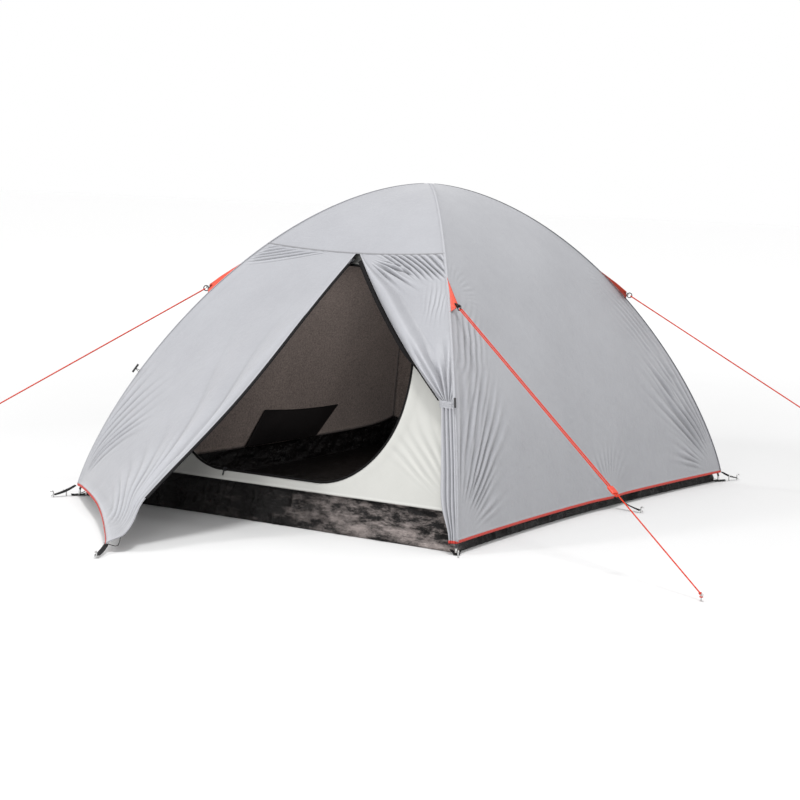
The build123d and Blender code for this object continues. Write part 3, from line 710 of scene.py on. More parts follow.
def patch(a, b, at, direction, length, width, pitch, seed):
    """Parallel creases in an oval round a point: direction is the way they run, in degrees."""
    c, s = cos(radians(direction)), sin(radians(direction))
    along = (a - at[0]) * c + (b - at[1]) * s
    across = -(a - at[0]) * s + (b - at[1]) * c
    window = np.exp(-((along / length) ** 2 + (across / width) ** 2) * 2)
    wander = 0.5 * noise(along / length * 2 + 9, across / pitch / 3 + 4, seed)
    return folds(across / pitch + wander) * window * (
        0.7 + 0.3 * noise(across / pitch / 2, along / length + 5, seed + 1)
    )


def slack(panel, seed, size=0.0025):
    """Slow waves of cloth under little tension."""
    return size * noise(panel.a / 0.34 + 20, panel.b / 0.42 + 20, seed) + size * 0.35 * noise(
        panel.a / 0.11 + 40, panel.b / 0.15 + 40, seed + 1
    )


def fly_panel(facing, step, gussets=True):
    panel = Panel(facing, HEM_Z, HEIGHT, 0.0, step)
    seed = {"right": 11, "back": 23, "left": 37}[facing]
    panel.bow_hem(0.046 if facing != "back" else 0.040)
    side = panel.half_side
    height = slack(panel, seed)
    height -= 0.004 * (1 - panel.v**2) * np.exp(-((panel.z - 0.35) ** 2) / 0.12)
    for end, towards in ((-1, 62), (1, 118)):
        height += 0.012 * fan(panel.a, panel.b, (end * side, -0.02), towards, 34, 13, 0.85, seed + 3 + end)
        height += 0.008 * fan(
            panel.a, panel.b, (end * side, -0.02), 90 + end * 52, 30, 11, 0.55, seed + 6 + end
        )
        if gussets:
            spot = np.interp(GUY_Z, panel.z[:, 0], panel.b[:, 0])
            wide = np.interp(GUY_Z, panel.z[:, 0], panel.half_width[:, 0])
            height += 0.0065 * fan(
                panel.a, panel.b, (end * wide, spot), 90 + end * 75, 42, 11, 0.22, seed + 9 + end
            )
            for aside, below, lean, size, pick in (
                (0.02, 0.20, 38, (0.20, 0.12, 0.034), 12), (0.10, 0.46, 40, (0.22, 0.10, 0.036), 15)
            ):
                place = (end * (wide + aside), spot - below)
                height += 0.0085 * patch(panel.a, panel.b, place, 90 + end * lean, *size, seed + pick + end)
    strap = {"right": 0.13, "back": 0.0, "left": -0.13}[facing]
    height += 0.0060 * fan(panel.a, panel.b, (strap, -0.01), 90, 70, 13, 0.28, seed + 20)
    panel.push(np.where(height < 0, 0.35 * height, height))
    return panel


def point_out(panel, strap, reach=0.010, width=0.09):
    """Draws the hem out a little where a strap holds it."""
    pull = reach * np.exp(-(((panel.a - strap) / width) ** 2)) * np.exp(-(((panel.z - HEM_Z) / 0.10) ** 2))
    panel.points = panel.points + pull[..., None] * panel.out


FINE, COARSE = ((0.0068, 0.0092))
fly = {
    facing: fly_panel(facing, FINE if facing == "right" else COARSE) for facing in ("right", "back", "left")
}
point_out(fly["right"], 0.13)
point_out(fly["left"], -0.13)
point_out(fly["back"], 0.0)

# Front roof panel: its lower edge is the seam that carries the vestibule
SEAM_DIP = 0.018
SEAM_HALF = float(arch(WIDTH / 2, SEAM_Z)[0])


def seam_point(x):
    """Point of the front seam, which dips between the ridges."""
    z = SEAM_Z - SEAM_DIP * (1 - (np.asarray(x, float) / SEAM_HALF) ** 2)
    return np.stack([np.asarray(x, float) + 0 * z, -arch(DEPTH / 2, z)[0], z], -1)


roof = Panel("front", SEAM_Z, HEIGHT, 0.0, FINE)
drop = SEAM_DIP * (1 - roof.v**2) * smooth(0.16, 0.0, roof.b)
reach_down, height_down = arch(DEPTH / 2, np.maximum(roof.z - drop, 0.1))
roof.points[..., 1] = -reach_down
roof.points[..., 2] = height_down
roof.push(slack(roof, 51, 0.0018) * smooth(0.0, 0.08, roof.b))


def declare(obj):
    """Reads the UV coordinates of the unthickened mesh of a sheet whose cut is not a rectangle; nothing is
    declared from them.

    The size comes from the mesh that it is then compared with, so an area share near 1 says nothing
    about how much cloth there should be.
    """
    uv = np.zeros(len(obj.data.loops) * 2)
    obj.data.uv_layers[0].data.foreach_get("uv", uv)
    uv = uv.reshape(-1, 2)


def two_sided(obj, outside, inside):
    """Gives a sheet one material outside and another on its inner face."""
    obj.data.materials.append(outside)
    obj.data.materials.append(inside)
    obj.modifiers["thickness"].material_offset = 1


def outward_grid(grid, uv, out):
    """Turns a grid so that its faces look along out."""
    if np.mean(normals_of(grid) @ np.asarray(out, float)) < 0:
        return grid[:, ::-1], uv[:, ::-1]
    return grid, uv


def vestibule_piece(name, grid, uv, out, node):
    """A piece of fly cloth over a grid, with its outside along out."""
    obj = cloth_grid(name, *outward_grid(grid, uv, out))
    two_sided(obj, fly_cloth, fly_inside)
    return finish_piece(obj, None, [node])


def fly_piece(panel, name, node):
    obj = panel.build(name)
    two_sided(obj, fly_cloth, fly_inside)
    finish_piece(obj, None, [node])
    return obj


for facing in ("right", "back", "left"):
    obj = fly_piece(fly[facing], f"fly_{facing}_cloth", f"fly_{facing}")
    declare(obj)
declare(fly_piece(roof, "fly_front_cloth", "fly_front"))

# Vestibule, left half -------------------------------------------------------------------------------
zip_run = PEAK - ZIP_TOP
zip_dir = unit(zip_run)
zip_face = unit(np.cross(zip_dir, (1, 0, 0)))
zip_face = zip_face * np.sign(zip_face[2])
zip_side = np.cross(zip_dir, zip_face)
zip_side = zip_side * np.sign(zip_side[0])
TAPE = 0.011
ZIP_SHARE = 0.86


def zip_line(s, aside=0.0):
    """The zip from its top end to the peak, bowed a little towards the doorway by the slack cloth."""
    s = np.asarray(s, float)
    bow = 0.032 * np.sin(pi * np.clip(s / 0.9, 0, 1) ** 1.25) ** 2
    bow = bow + 0.042 * smooth(ZIP_SHARE, 0.955, s) * smooth(1.0, 0.965, s)
    return ZIP_TOP + s[..., None] * zip_run + aside * zip_side + bow[..., None] * np.array([1.0, -0.1, 0.0])


def ridge_down(side_x, high, low, count):
    z = even_heights(np.hypot(WIDTH, DEPTH) / 2, low, high, count)[::-1]
    return ridge(z, side_x, -1)


def left_flap(step):
    rows, columns = int(1.62 / step), int(1.12 / step)
    s = np.linspace(0, 1, rows) ** 1.6
    t = np.linspace(0, 1, columns)
    even = ridge_down(-1, SEAM_Z, HEM_Z, 600)
    pole_edge = np.stack([np.interp(s, np.linspace(0, 1, 600), even[:, k]) for k in range(3)], 1)
    zip_edge = zip_line(s, -TAPE)
    top = seam_point(np.linspace(-SEAM_HALF, ZIP_TOP[0] - TAPE, columns))
    zip_edge = zip_edge + (top[-1] - zip_edge[0]) * (1 - s[:, None]) ** 6
    grid = pole_edge[:, None] * (1 - t)[None, :, None] + zip_edge[:, None] * t[None, :, None]
    straight = grid[0].copy()
    grid = grid + (top - straight)[None] * ((1 - s) ** 3)[:, None, None]
    normal = normals_of(grid)
    out = unit(np.array([PEAK[1] - pole_edge[-1][1], -(PEAK[0] - pole_edge[-1][0]), 0.0]))
    out = out * np.sign(-out[1])
    if np.mean(normal @ out) < 0:
        normal = -normal
    across = unit((PEAK - pole_edge[-1]) * (1, 1, 0))
    x, y = grid @ across, grid @ UP
    x = x - float(pole_edge[-1] @ across)
    foot = (float((PEAK - pole_edge[-1]) @ across), 0.0)
    ss, tt = s[:, None] + 0 * t, t[None, :] + 0 * s[:, None]
    # Long folds from the peak, short gathers under the seam, and the pull of the pole's ridge
    height = 0.024 * fan(x, y, (foot[0] + 0.01, -0.03), 118, 34, 10, 1.35, 61, 0.04)
    height += 0.010 * fan(x, y, (foot[0] + 0.01, -0.03), 128, 44, 19, 0.80, 64, 0.03)
    height += 0.010 * fan(x, y, (-0.02, 0.0), 62, 30, 9, 0.60, 67)
    height += 0.008 * patch(x, y, (0.78, 0.62), 118, 0.24, 0.12, 0.050, 71)
    width = np.linalg.norm(grid - grid[:, :1], axis=-1)
    down = np.cumsum(np.linalg.norm(np.diff(grid, axis=0, prepend=grid[:1]), axis=-1), axis=0)
    start = width + down / np.tan(radians(24))
    held = smooth(0.0, 0.010, down) * smooth(0.17, 0.07, down)
    held = held * smooth(0.36, 0.26, start) * smooth(0.0, 0.03, width)
    height += 0.0078 * folds(start / 0.044 + 0.4 * noise(start / 0.09, down / 0.09, 75), 1.7) * held
    height += 0.006 * noise(x / 0.3 + 8, y / 0.4 + 8, 77) * smooth(0.0, 0.2, ss)
    height -= 0.020 * np.sin(pi * tt) * np.sin(pi * np.clip(ss, 0, 1)) ** 1.2
    edge = smooth(0.0, 0.05, width) * smooth(0.0, 0.03, down + 0.006) * smooth(1.0, 0.94, tt)
    grid = grid + (height * edge)[..., None] * normal
    # The hem is cut hollow, so it rises and goes in between the ridge and the peak
    low = ss**10
    hollow = np.sin(pi * tt) ** 0.9 * low
    grid[..., 2] += 0.026 * hollow
    grid -= (0.024 * hollow)[..., None] * out
    return grid, width, down


left_grid, left_u, left_v = left_flap(0.0070)


left_uv = np.stack([left_u, left_v], -1)
left_cloth = vestibule_piece(
    "vestibule_left_cloth", left_grid, left_uv, (-0.6, -0.8, 0.2), "vestibule_left_flap"
)
declare(left_cloth)

# Outer zip: tape and coil down the flap's free edge
tape_s = np.linspace(0.008, ZIP_SHARE, 160)
tape_line = zip_line(tape_s, -TAPE / 2)
outer_tape = ribbon("outer_zip_tape", tape_line, zip_side, TAPE + 0.003, 0.0011, rows=5)
outer_tape.data.materials.append(zip_tape)
coil_line = zip_line(tape_s, 0.0)
teeth = tube("outer_zip_coil", coil_line, 0.0022, 8, taper=1 + 0.22 * np.cos(np.arange(len(tape_s)) * pi))
teeth.data.materials.append(zip_tape)
finish_piece(outer_tape, None, ["outer_zip"])
finish_piece(teeth, None, ["outer_zip"])

# Vestibule, right half: gathered into its tie -------------------------------------------------------
NECK_OUT = np.array([-0.041, -0.014, 0.0])
FREE_BOW = np.array([0.0, -0.036, -0.006])
RIGHT_OUT = np.array([0.15, -0.93, 0.33])
tie_ridge = ridge(TIE_Z, 1, -1)
neck_end = tie_ridge + NECK_OUT


def free_edge(s):
    """The right flap's free edge, from the seam to the neck."""
    start = seam_point(ZIP_TOP[0] + 0.004)
    middle = (start + neck_end) / 2 + 2 * FREE_BOW
    s = np.asarray(s, float)[..., None]
    return start * (1 - s) ** 2 + 2 * middle * s * (1 - s) + neck_end * s**2


def right_flap(step):
    rows, columns = int(0.78 / step), int(0.46 / step)
    s = np.linspace(0, 1, rows)
    t = np.linspace(0, 1, columns)
    pole_edge = ridge_down(1, SEAM_Z, TIE_Z, rows)
    free = free_edge(s)
    top = seam_point(np.linspace(SEAM_HALF, ZIP_TOP[0] + 0.004, columns))
    grid = pole_edge[:, None] * (1 - t)[None, :, None] + free[:, None] * t[None, :, None]
    straight = grid[0].copy()
    grid = grid + (top - straight)[None] * ((1 - s) ** 3)[:, None, None]
    out = RIGHT_OUT
    normal = normals_of(grid)
    if np.mean(normal @ out) < 0:
        normal = -normal
    ss, tt = s[:, None] + 0 * t, t[None, :] + 0 * s[:, None]
    full = np.linalg.norm(grid[:, -1] - grid[:, 0], axis=-1)[:, None] + 0 * t
    from_ridge = full * tt
    from_free = full * (1 - tt)
    down = np.cumsum(np.linalg.norm(np.diff(grid, axis=0, prepend=grid[:1]), axis=-1), axis=0)
    # Strong slanting gathers under the seam
    from_zip = full[0, 0] - from_ridge
    slant = radians(33) + radians(20) * np.clip(from_zip / full[0, 0], 0, 1)
    start = from_zip - down / np.tan(slant)
    held = smooth(0.0, 0.008, down) * smooth(0.165, 0.095, down)
    held = held * smooth(0.05, 0.12, start) * smooth(0.0, 0.012, from_ridge)
    height = 0.0075 * folds(start / 0.034 + 0.3 * noise(start / 0.09, down / 0.09, 81), 2.2) * held
    # Long soft folds from the top of the zip
    x, y = full[0, 0] - from_ridge, -down
    height += 0.0120 * fan(x, y, (0.0, 0.0), -36, 19, 4, 0.36, 84, 0.015)
    # Pleats that draw together into the neck
    above = (1 - ss) * down[-1, 0]
    aside = from_ridge - full[-1, 0] * 0.5
    lean = np.degrees(np.arctan2(aside, np.maximum(above, 1e-4) + 0.02))
    far = np.hypot(aside, above)
    spread = smooth(-30, -10, lean) * smooth(0.34, 0.05, far) * smooth(0.0, 0.02, from_ridge + 0.01)
    pleats = folds(lean / 9.5 + 0.3 * noise(far * 9 + 3, lean / 14 + 3, 87), 1.5)
    height += (0.085 * far + 0.004) * spread * pleats * 0.6
    height += 0.0030 * patch(-from_ridge, y, (-0.05, -0.27), 80, 0.12, 0.05, 0.018, 89)
    # The free edge turns over into a soft roll
    radius = 0.036 * smooth(0.0, 0.34, ss) * (1 - 0.72 * smooth(0.62, 1.0, ss)) + 0.003
    inside = np.clip(from_free / radius, 0, 2.6)
    roll = radius * np.where(
        inside < 1, np.sqrt(np.clip(1 - (1 - inside) ** 2, 0, 1)),
        1 - 0.5 * (1 - np.cos(pi * (inside - 1) / 1.6))
    )
    height += np.where(inside < 2.6, roll, 0.0)
    height -= 0.006 * np.sin(pi * tt) * np.sin(pi * ss)
    edge = smooth(0.0, 0.02, from_ridge + 0.004) * smooth(0.0, 0.02, down + 0.003)
    grid = grid + (height * edge)[..., None] * normal
    return grid, from_ridge, down


right_grid, right_u, right_v = right_flap(0.0030)
right_uv = np.stack([right_u, right_v], -1)
right_cloth = vestibule_piece(
    "vestibule_right_cloth", right_grid, right_uv, RIGHT_OUT, "vestibule_right_flap"
)

# Tail of the gathered flap, hanging down the ridge to the corner
tail_z = np.linspace(TIE_Z + 0.012, HEM_Z, 110)
tail_t = np.linspace(0, 1, 34)
tail_ridge = ridge(tail_z, 1, -1)
tail_spread = (1 + (TIE_Z - tail_z) / 0.9) * (1 - 0.55 * smooth(0.24, 0.44, TIE_Z - tail_z) ** 2)
tail_free = tail_ridge + NECK_OUT * tail_spread[:, None]
tail_grid = tail_ridge[:, None] * (1 - tail_t)[None, :, None] + tail_free[:, None] * tail_t[None, :, None]
tail_down = (TIE_Z - tail_z)[:, None] + 0 * tail_t
pleat = 0.0052 * folds(
    tail_t[None, :] * 3.4 + 0.3 * noise(tail_down * 4, tail_t[None, :] * 3 + 0 * tail_down, 91), 1.3
)
pleat = pleat * smooth(0, 0.1, tail_t)[None, :] + 0.004
tail_out = unit((0.1, -0.98, 0.15))
tail_grid = tail_grid + pleat[..., None] * tail_out
width = np.linalg.norm(NECK_OUT) * tail_spread[:, None] * tail_t[None, :]
tail_uv = np.stack([width, tail_down], -1)
tail_cloth = vestibule_piece("vestibule_tail_cloth", tail_grid, tail_uv, tail_out, "vestibule_right_flap")

# Zip tape along the roll, on the doorway's side
roll_s = np.linspace(0.045, 0.97, 120)
roll_edge = free_edge(roll_s)
roll_run = np.gradient(roll_edge, axis=0)
roll_side = units(np.cross(roll_run, RIGHT_OUT))
roll_side *= np.sign(roll_side @ np.array([-1.0, 0.0, -0.6]))[:, None]
roll_width = 0.003 + 0.015 * smooth(0.80, 0.62, roll_s)
roll_tape = ribbon(
    "right_zip_tape", roll_edge + roll_side * (roll_width * 0.42)[:, None], roll_side, roll_width, 0.0011,
    rows=5, crown=-0.002
)
finish_piece(roll_tape, zip_tape)
roll_teeth = tube(
    "right_zip_coil", roll_edge + roll_side * (roll_width * 0.9)[:, None], 0.0018, 8,
    taper=1 + 0.22 * np.cos(np.arange(len(roll_s)) * pi),
)
finish_piece(roll_teeth, zip_tape)
# Open fault: this is the gathered size, not the cut, because the cloth drawn into the tie isn't modelled.
# The cut is about 0.99 square metres, and the mesh holds 0.22 of that.
declare(right_cloth)

# The tie: a band round the neck, and an elastic loop to its toggle
neck_centre = tie_ridge + NECK_OUT * 0.5 + np.array([0.12, -0.95, 0.25]) * 0.004
across = unit(NECK_OUT)
forward = unit(np.cross(across, UP))
forward = forward * np.sign(-forward[1])
turn = np.linspace(radians(-28), radians(208), 49)
band_z = np.linspace(-0.012, 0.012, 9)
wrinkle = 0.0012 * folds(
    turn[:, None] / 0.42 + 0.4 * noise(turn[:, None] * 2 + 4, band_z[None, :] / 0.01 + 4, 95), 1.2
)
reach = 1 + wrinkle / 0.02
band_grid = (
    neck_centre
    + (np.cos(turn)[:, None] * reach * 0.0280)[..., None] * across
    + (np.sin(turn)[:, None] * reach * 0.0098)[..., None] * forward
    + (band_z[None, :] + 0.0025 * np.cos(turn)[:, None])[..., None] * UP
)
band_uv = np.stack([turn[:, None] * 0.025 + 0 * band_z, band_z[None, :] + 0 * turn[:, None]], -1)
grid, band_uv = outward_grid(band_grid, band_uv, forward)
band = cloth_grid("flap_tie_band", grid, band_uv, 0.0014)
finish_piece(band, seam_tape, ["flap_tie"])


def ridge_frame(z, side_x, side_y):
    """Point of a ridge, its direction upwards and its normal away from the tent."""
    point = ridge(z, side_x, side_y)
    rise = unit(ridge(z + 0.005, side_x, side_y) - ridge(z - 0.005, side_x, side_y))
    sideways = unit(np.cross(UP, (side_x * WIDTH, side_y * DEPTH, 0)))
    return point, rise, unit(np.cross(sideways, rise))


for side, side_x in (("right", 1), ("left", -1)):
    point, rise, away = ridge_frame(TIE_Z, side_x, -1)
    middle = point + away * 0.020
    path = [
        point - away * 0.002 + rise * 0.004, point + away * 0.006 + rise * 0.003, middle,
        point + away * 0.006 - rise * 0.003
    ]
    path.append(point - away * 0.002 - rise * 0.004)
    path = np.array(path)
    fine = np.stack([np.interp(np.linspace(0, 4, 33), range(5), path[:, k]) for k in range(3)], 1)
    loop = tube(f"toggle_loop_{side}", fine, 0.0011, 8)
    finish_piece(loop, webbing)

# Seams ----------------------------------------------------------------------------------------------
for name, (side_x, side_y) in CORNERS.items():
    z = even_heights(np.hypot(WIDTH, DEPTH) / 2, HEM_Z, HEIGHT * 0.9995, 200)
    line = ridge(z, side_x, side_y)
    sideways = unit(np.cross(UP, (side_x * WIDTH, side_y * DEPTH, 0)))
    away = units(np.cross(sideways, np.gradient(line, axis=0)))
    away *= np.sign(np.sum(away * line, axis=1))[:, None]
    line = line + away * 0.0008
    strip = ribbon(f"ridge_seam_{name}", line, np.broadcast_to(sideways, line.shape), 0.011, 0.0008, rows=7)
    finish_piece(strip, seam_tape)
front_seam = seam_point(np.linspace(-SEAM_HALF, SEAM_HALF, 120))
seam_fall = np.array([0.0, -0.62, -0.78])
seam_out = unit(np.cross((1, 0, 0), seam_fall) * -1)
seam_out = seam_out * np.sign(seam_out[2])
strip = ribbon(
    "front_seam", front_seam + seam_out * 0.0016, np.broadcast_to(seam_fall, front_seam.shape), 0.0055,
    0.0012, rows=7
)
finish_piece(strip, fly_inside)

# Hem binding, folded over the lower edges -----------------------------------------------------------
def hem(name, line, out, replaces=()):
    line = np.asarray(line, float)
    out = np.broadcast_to(np.asarray(out, float), line.shape)
    obj = tube(name, line - UP * 0.002, 0.0050, 12, squash=0.32, flat_side=out)
    finish_piece(obj, hem_tape, list(replaces))
    return obj


for facing in ("right", "back", "left"):
    hem(f"hem_{facing}", fly[facing].row(0), fly[facing].out, ["fly_hem"])
hem("hem_vestibule", left_grid[-1], (-0.68, -0.73, 0), ["fly_hem"])
hem("hem_tail", tail_grid[-1], tail_out)
slack_edge = zip_line(np.linspace(ZIP_SHARE, 1.0, 24), -TAPE * 0.8)
edge_fold = tube("vestibule_edge_fold", slack_edge, 0.003, 10, squash=0.5, flat_side=zip_face)
finish_piece(edge_fold, fly_cloth)

# Gussets, with their webbing tabs -------------------------------------------------------------------
GUSSET_HALF, GUSSET_REACH, PEG_X, PEG_Y, GUY_END_Z = 0.058, 0.072, 1.808, 1.222, 0.016
for name, (side_x, side_y) in CORNERS.items():
    root = ridge(GUY_Z, side_x, side_y)
    run = unit(np.array([side_x * PEG_X, side_y * PEG_Y, GUY_END_Z]) - root)
    tip = root + run * (GUSSET_REACH - 0.004)
    z = np.linspace(GUY_Z - GUSSET_HALF, GUY_Z + GUSSET_HALF, 36)
    sewn = ridge(z, side_x, side_y) + run * 0.0015
    share = np.linspace(0, 1, 30)
    width = 0.0065 * (np.linspace(-1, 1, 36))[:, None] * np.array([0, 0, 1.0])
    grid = sewn[:, None] * (1 - share)[None, :, None] + (tip + width)[:, None] * share[None, :, None]
    face = unit(np.cross(grid[-1, 0] - grid[0, 0], run))
    puff = 0.0016 * np.sin(pi * share)[None, :] * (
        1 + 0.8 * noise(z[:, None] * 60, share[None, :] * 3 + 0 * z[:, None], 101)
    )
    grid = grid + puff[..., None] * face
    obj = cloth_grid(f"gusset_{name}_cloth", grid, thickness=0.0012)
    obj.data.materials.append(trim_cloth)
    rims = []
    for edge, piece in ((grid[0], "low"), (grid[-1], "high")):
        rims.append(tube(piece, edge, 0.0014, 8))
    rim = join(f"gusset_{name}_rim", rims)
    finish_piece(rim, trim_cloth)
    ring = tip + run * 0.016
    side = unit(np.cross(UP, run))
    turn = np.linspace(-pi, 0, 17)
    eye = [tip - run * 0.012 + face * 0.0012]
    over = np.cross(run, side)
    eye += [
        tip + run * (0.004 + 0.0042 * (1 + cos(a + pi / 2))) + over * 0.0042 * sin(a + pi / 2) for a in turn
    ]
    eye += [tip - run * 0.012 - face * 0.0012]
    tab = ribbon(f"gusset_{name}_tab", eye, np.broadcast_to(side, (len(eye), 3)), 0.011, 0.0012)
    finish_piece(tab, webbing)
    finish_piece(obj, None, [f"gusset_{name}"])

# Peg loops ------------------------------------------------------------------------------------------
def strap(name, start, end, width, twist=0.0, sag=0.004):
    """A doubled strap from the hem to its peg, with a bar of stitching at the top."""
    start, end = np.array(start, float), np.array(end, float)
    run = unit(end - start)
    side = unit(np.cross(run, UP))
    top = np.cross(side, run)
    s = np.linspace(0, 1, 26)
    line = start + s[:, None] * (end - start) - (sag * np.sin(pi * s))[:, None] * UP
    turn = twist * np.sin(pi * s)
    sides = np.cos(turn)[:, None] * side + np.sin(turn)[:, None] * top
    return [
        ribbon(f"{name}_a", line + top * 0.0011, sides, width, 0.0013, rows=5),
        ribbon(f"{name}_b", line - top * 0.0011, sides, width * 0.96, 0.0013, rows=5),
        tube(
            f"{name}_bar",
            [line[3] + side * width * 0.45 + top * 0.002, line[3] - side * width * 0.45 + top * 0.002],
            0.0013, 8
        ),
    ]


LOOPS = {
    "peak": ((-0.036, -1.888, 0.026), (0.006, -1.982, 0.009), 0.015),
    "front_left": ((-0.862, -1.126, 0.040), (-0.897, -1.208, 0.009), 0.013),
    "back_right": ((0.862, 1.126, 0.040), (0.897, 1.208, 0.009), 0.013),
    "right": ((0.836, 0.132, 0.046), (0.955, 0.118, 0.009), 0.015),
    "left": ((-0.836, 0.132, 0.046), (-0.955, 0.118, 0.009), 0.015),
    "back": ((0.0, 1.096, 0.046), (0.0, 1.212, 0.009), 0.015),
}
straps, hooks = [], []
for name, (start, end, width) in LOOPS.items():
    straps += strap(f"loop_{name}", start, end, width, twist=0.25)
    run = unit(np.array(end) - np.array(start))
    side = unit(np.cross(run, UP))
    turn = np.linspace(0, 2 * pi, 33)
    ring = np.array(end) + run * 0.004 + np.outer(np.cos(turn) * 0.0085, run)
    ring = ring + np.outer(np.sin(turn) * 0.0062, side)
    hooks.append(tube(f"hook_{name}", ring, 0.0011, 8, caps=False))
loops = join("peg_loops_straps", straps)
finish_piece(loops, webbing, ["peg_loops"])
wire = join("peg_loops_rings", hooks)
finish_piece(wire, zinc_steel)
drawcord = np.array(
    [[-0.046, -1.889, 0.030], [-0.020, -1.862, 0.019], [-0.028, -1.839, 0.016], [-0.055, -1.80, 0.018],
     [-0.080, -1.765, 0.030]]
)
fine = np.stack([np.interp(np.linspace(0, 4, 40), range(5), drawcord[:, k]) for k in range(3)], 1)
short_cord = tube("peak_drawcord", fine, 0.0012, 8)
finish_piece(short_cord, webbing)

# Inner tent -----------------------------------------------------------------------------------------
DOOR_HALF, DOOR_SILL, DOOR_CORNER, DOOR_ARCH = 0.488, 0.172, 0.275, 0.480
SPRING = DOOR_SILL + DOOR_CORNER


def door_outline(count=480, grow=0.0):
    """The inner doorway's edge in front elevation, evenly spaced and closed: x and z."""
    a = np.linspace(0, pi, 400)
    upper = np.stack([(DOOR_HALF + grow) * np.cos(a), SPRING + (DOOR_ARCH + grow) * np.sin(a)], 1)
    corner = DOOR_CORNER + grow
    a = np.linspace(pi, 1.5 * pi, 120)
    left = np.stack([DOOR_CORNER - DOOR_HALF + corner * np.cos(a), SPRING + corner * np.sin(a)], 1)
    a = np.linspace(1.5 * pi, 2 * pi, 120)
    right = np.stack([DOOR_HALF - DOOR_CORNER + corner * np.cos(a), SPRING + corner * np.sin(a)], 1)
    line = np.concatenate([upper, left[1:], right])
    length = arc_lengths(line)
    at = np.linspace(0, length[-1], count, endpoint=False)
    return np.stack([np.interp(at, length, line[:, k]) for k in range(2)], 1)


RIM_SAG = 0.026  # of the tub's rim between its corners, on the three closed sides
INNER_BOW = 0.040  # how far the inner tent's lower edges and the tub's rim come in at mid-side


def inner_slack(panel, seed, size=0.004):
    sag = -0.010 * (1 - panel.v**2) * np.sin(pi * np.clip(panel.b / 1.5, 0, 1))
    height = size * noise(panel.a / 0.26 + 15, panel.b / 0.30 + 15, seed) + sag
    for end, towards in ((-1, 60), (1, 120)):
        height += 0.0030 * fan(
            panel.a, panel.b, (end * panel.half_side * 0.97, -0.01), towards, 38, 12, 0.55, seed + 3 + end
        )
    return height


def at_rim(half_span):
    """Arch height and reach at which the inset wall passes the tub's rim."""
    z = np.linspace(TUB_Z, TUB_Z + 0.05, 200)
    reach, height = arch(half_span, z, INNER_INSET)
    return float(np.interp(TUB_Z, height, z)), float(np.interp(TUB_Z, height, reach))


def inner_wall(facing, step):
    panel = Panel(
        facing, at_rim(WIDTH / 2 if FACINGS[facing][0] else DEPTH / 2)[0], HEIGHT, INNER_INSET, step
    )
    panel.bow_hem(INNER_BOW)
    panel.points[..., 2] -= RIM_SAG * (1 - panel.v**8) * np.exp(-(((panel.z - TUB_Z) / 0.2) ** 2))
    panel.push(inner_slack(panel, {"right": 111, "back": 121, "left": 131, "front": 141}[facing]), 0.04)
    return panel


inner_pieces = {}
for facing in ("right", "back", "left"):
    panel = inner_wall(facing, 0.016)
    obj = panel.build(f"inner_{facing}_cloth", 0.0005)
    two_sided(obj, inner_cloth, inner_inside_painted_shade)
    finish_piece(obj, None, [f"inner_{facing}_wall"])
    declare(obj)
    inner_pieces[facing] = panel

# Front wall, with its doorway
front = Panel("front", at_rim(DEPTH / 2)[0], HEIGHT, INNER_INSET, 0.009)
outline = door_outline()
flat = front.points[..., [0, 2]].reshape(-1, 2)


def inside_outline(points):
    """True for the points inside the doorway."""
    x, z = points[:, 0], points[:, 1]
    upper = (z >= SPRING) & ((x / DOOR_HALF) ** 2 + ((z - SPRING) / DOOR_ARCH) ** 2 < 1)
    flat_x = np.maximum(np.abs(x) - (DOOR_HALF - DOOR_CORNER), 0)
    lower = (z < SPRING) & (z > DOOR_SILL) & (flat_x**2 + (z - SPRING) ** 2 < DOOR_CORNER**2)
    return upper | lower


def nearest_on(points, line):
    """Nearest point of a closed line to each point, and how far it is."""
    best = np.zeros_like(points)
    far = np.full(len(points), 1e9)
    for start in range(0, len(points), 4000):
        part = points[start : start + 4000]
        gap = np.linalg.norm(part[:, None] - line[None], axis=2)
        i = gap.argmin(1)
        best[start : start + 4000] = line[i]
        far[start : start + 4000] = gap[np.arange(len(part)), i]
    return best, far


within = inside_outline(flat).reshape(front.a.shape)
keep = ~(within[:-1, :-1] & within[1:, :-1] & within[:-1, 1:] & within[1:, 1:])
fine_line = door_outline(2400)
rim_cells = keep & (within[:-1, :-1] | within[1:, :-1] | within[:-1, 1:] | within[1:, 1:])
rim_points = np.zeros(within.shape, bool)
for di in (0, 1):
    for dj in (0, 1):
        rim_points[di : di + rim_cells.shape[0], dj : dj + rim_cells.shape[1]] |= rim_cells
moved = np.flatnonzero((rim_points & within).ravel())
snapped = nearest_on(flat[moved], fine_line)[0]
points = front.points.reshape(-1, 3).copy()
curve_z = np.linspace(0.05, HEIGHT * 0.999, 4000)
curve_y, curve_h = arch(DEPTH / 2, curve_z, INNER_INSET)
order = np.argsort(curve_h)


def wall_y(z):
    """Where the inner front wall stands at height z."""
    return -np.interp(z, curve_h[order], curve_y[order])


points[moved, 0] = snapped[:, 0]
points[moved, 2] = snapped[:, 1]
points[moved, 1] = wall_y(snapped[:, 1])
front.points = points.reshape(front.points.shape)
wall_height = inner_slack(front, 141, 0.003)
wall_height += 0.0034 * fan(front.a, front.b, (-0.52, 0.06), 60, 60, 13, 0.34, 145, 0.01)
wall_height += 0.0024 * fan(front.a, front.b, (-0.80, -0.02), 40, 30, 9, 0.45, 147)
door_gap = nearest_on(flat, outline)[1].reshape(front.a.shape)
front.push(wall_height * smooth(0.0, 0.05, door_gap), 0.04)
front_wall = front.build("inner_front_cloth", 0.0005, keep)
two_sided(front_wall, inner_cloth, inner_inside_painted_shade)
finish_piece(front_wall, None, ["inner_front_wall"])


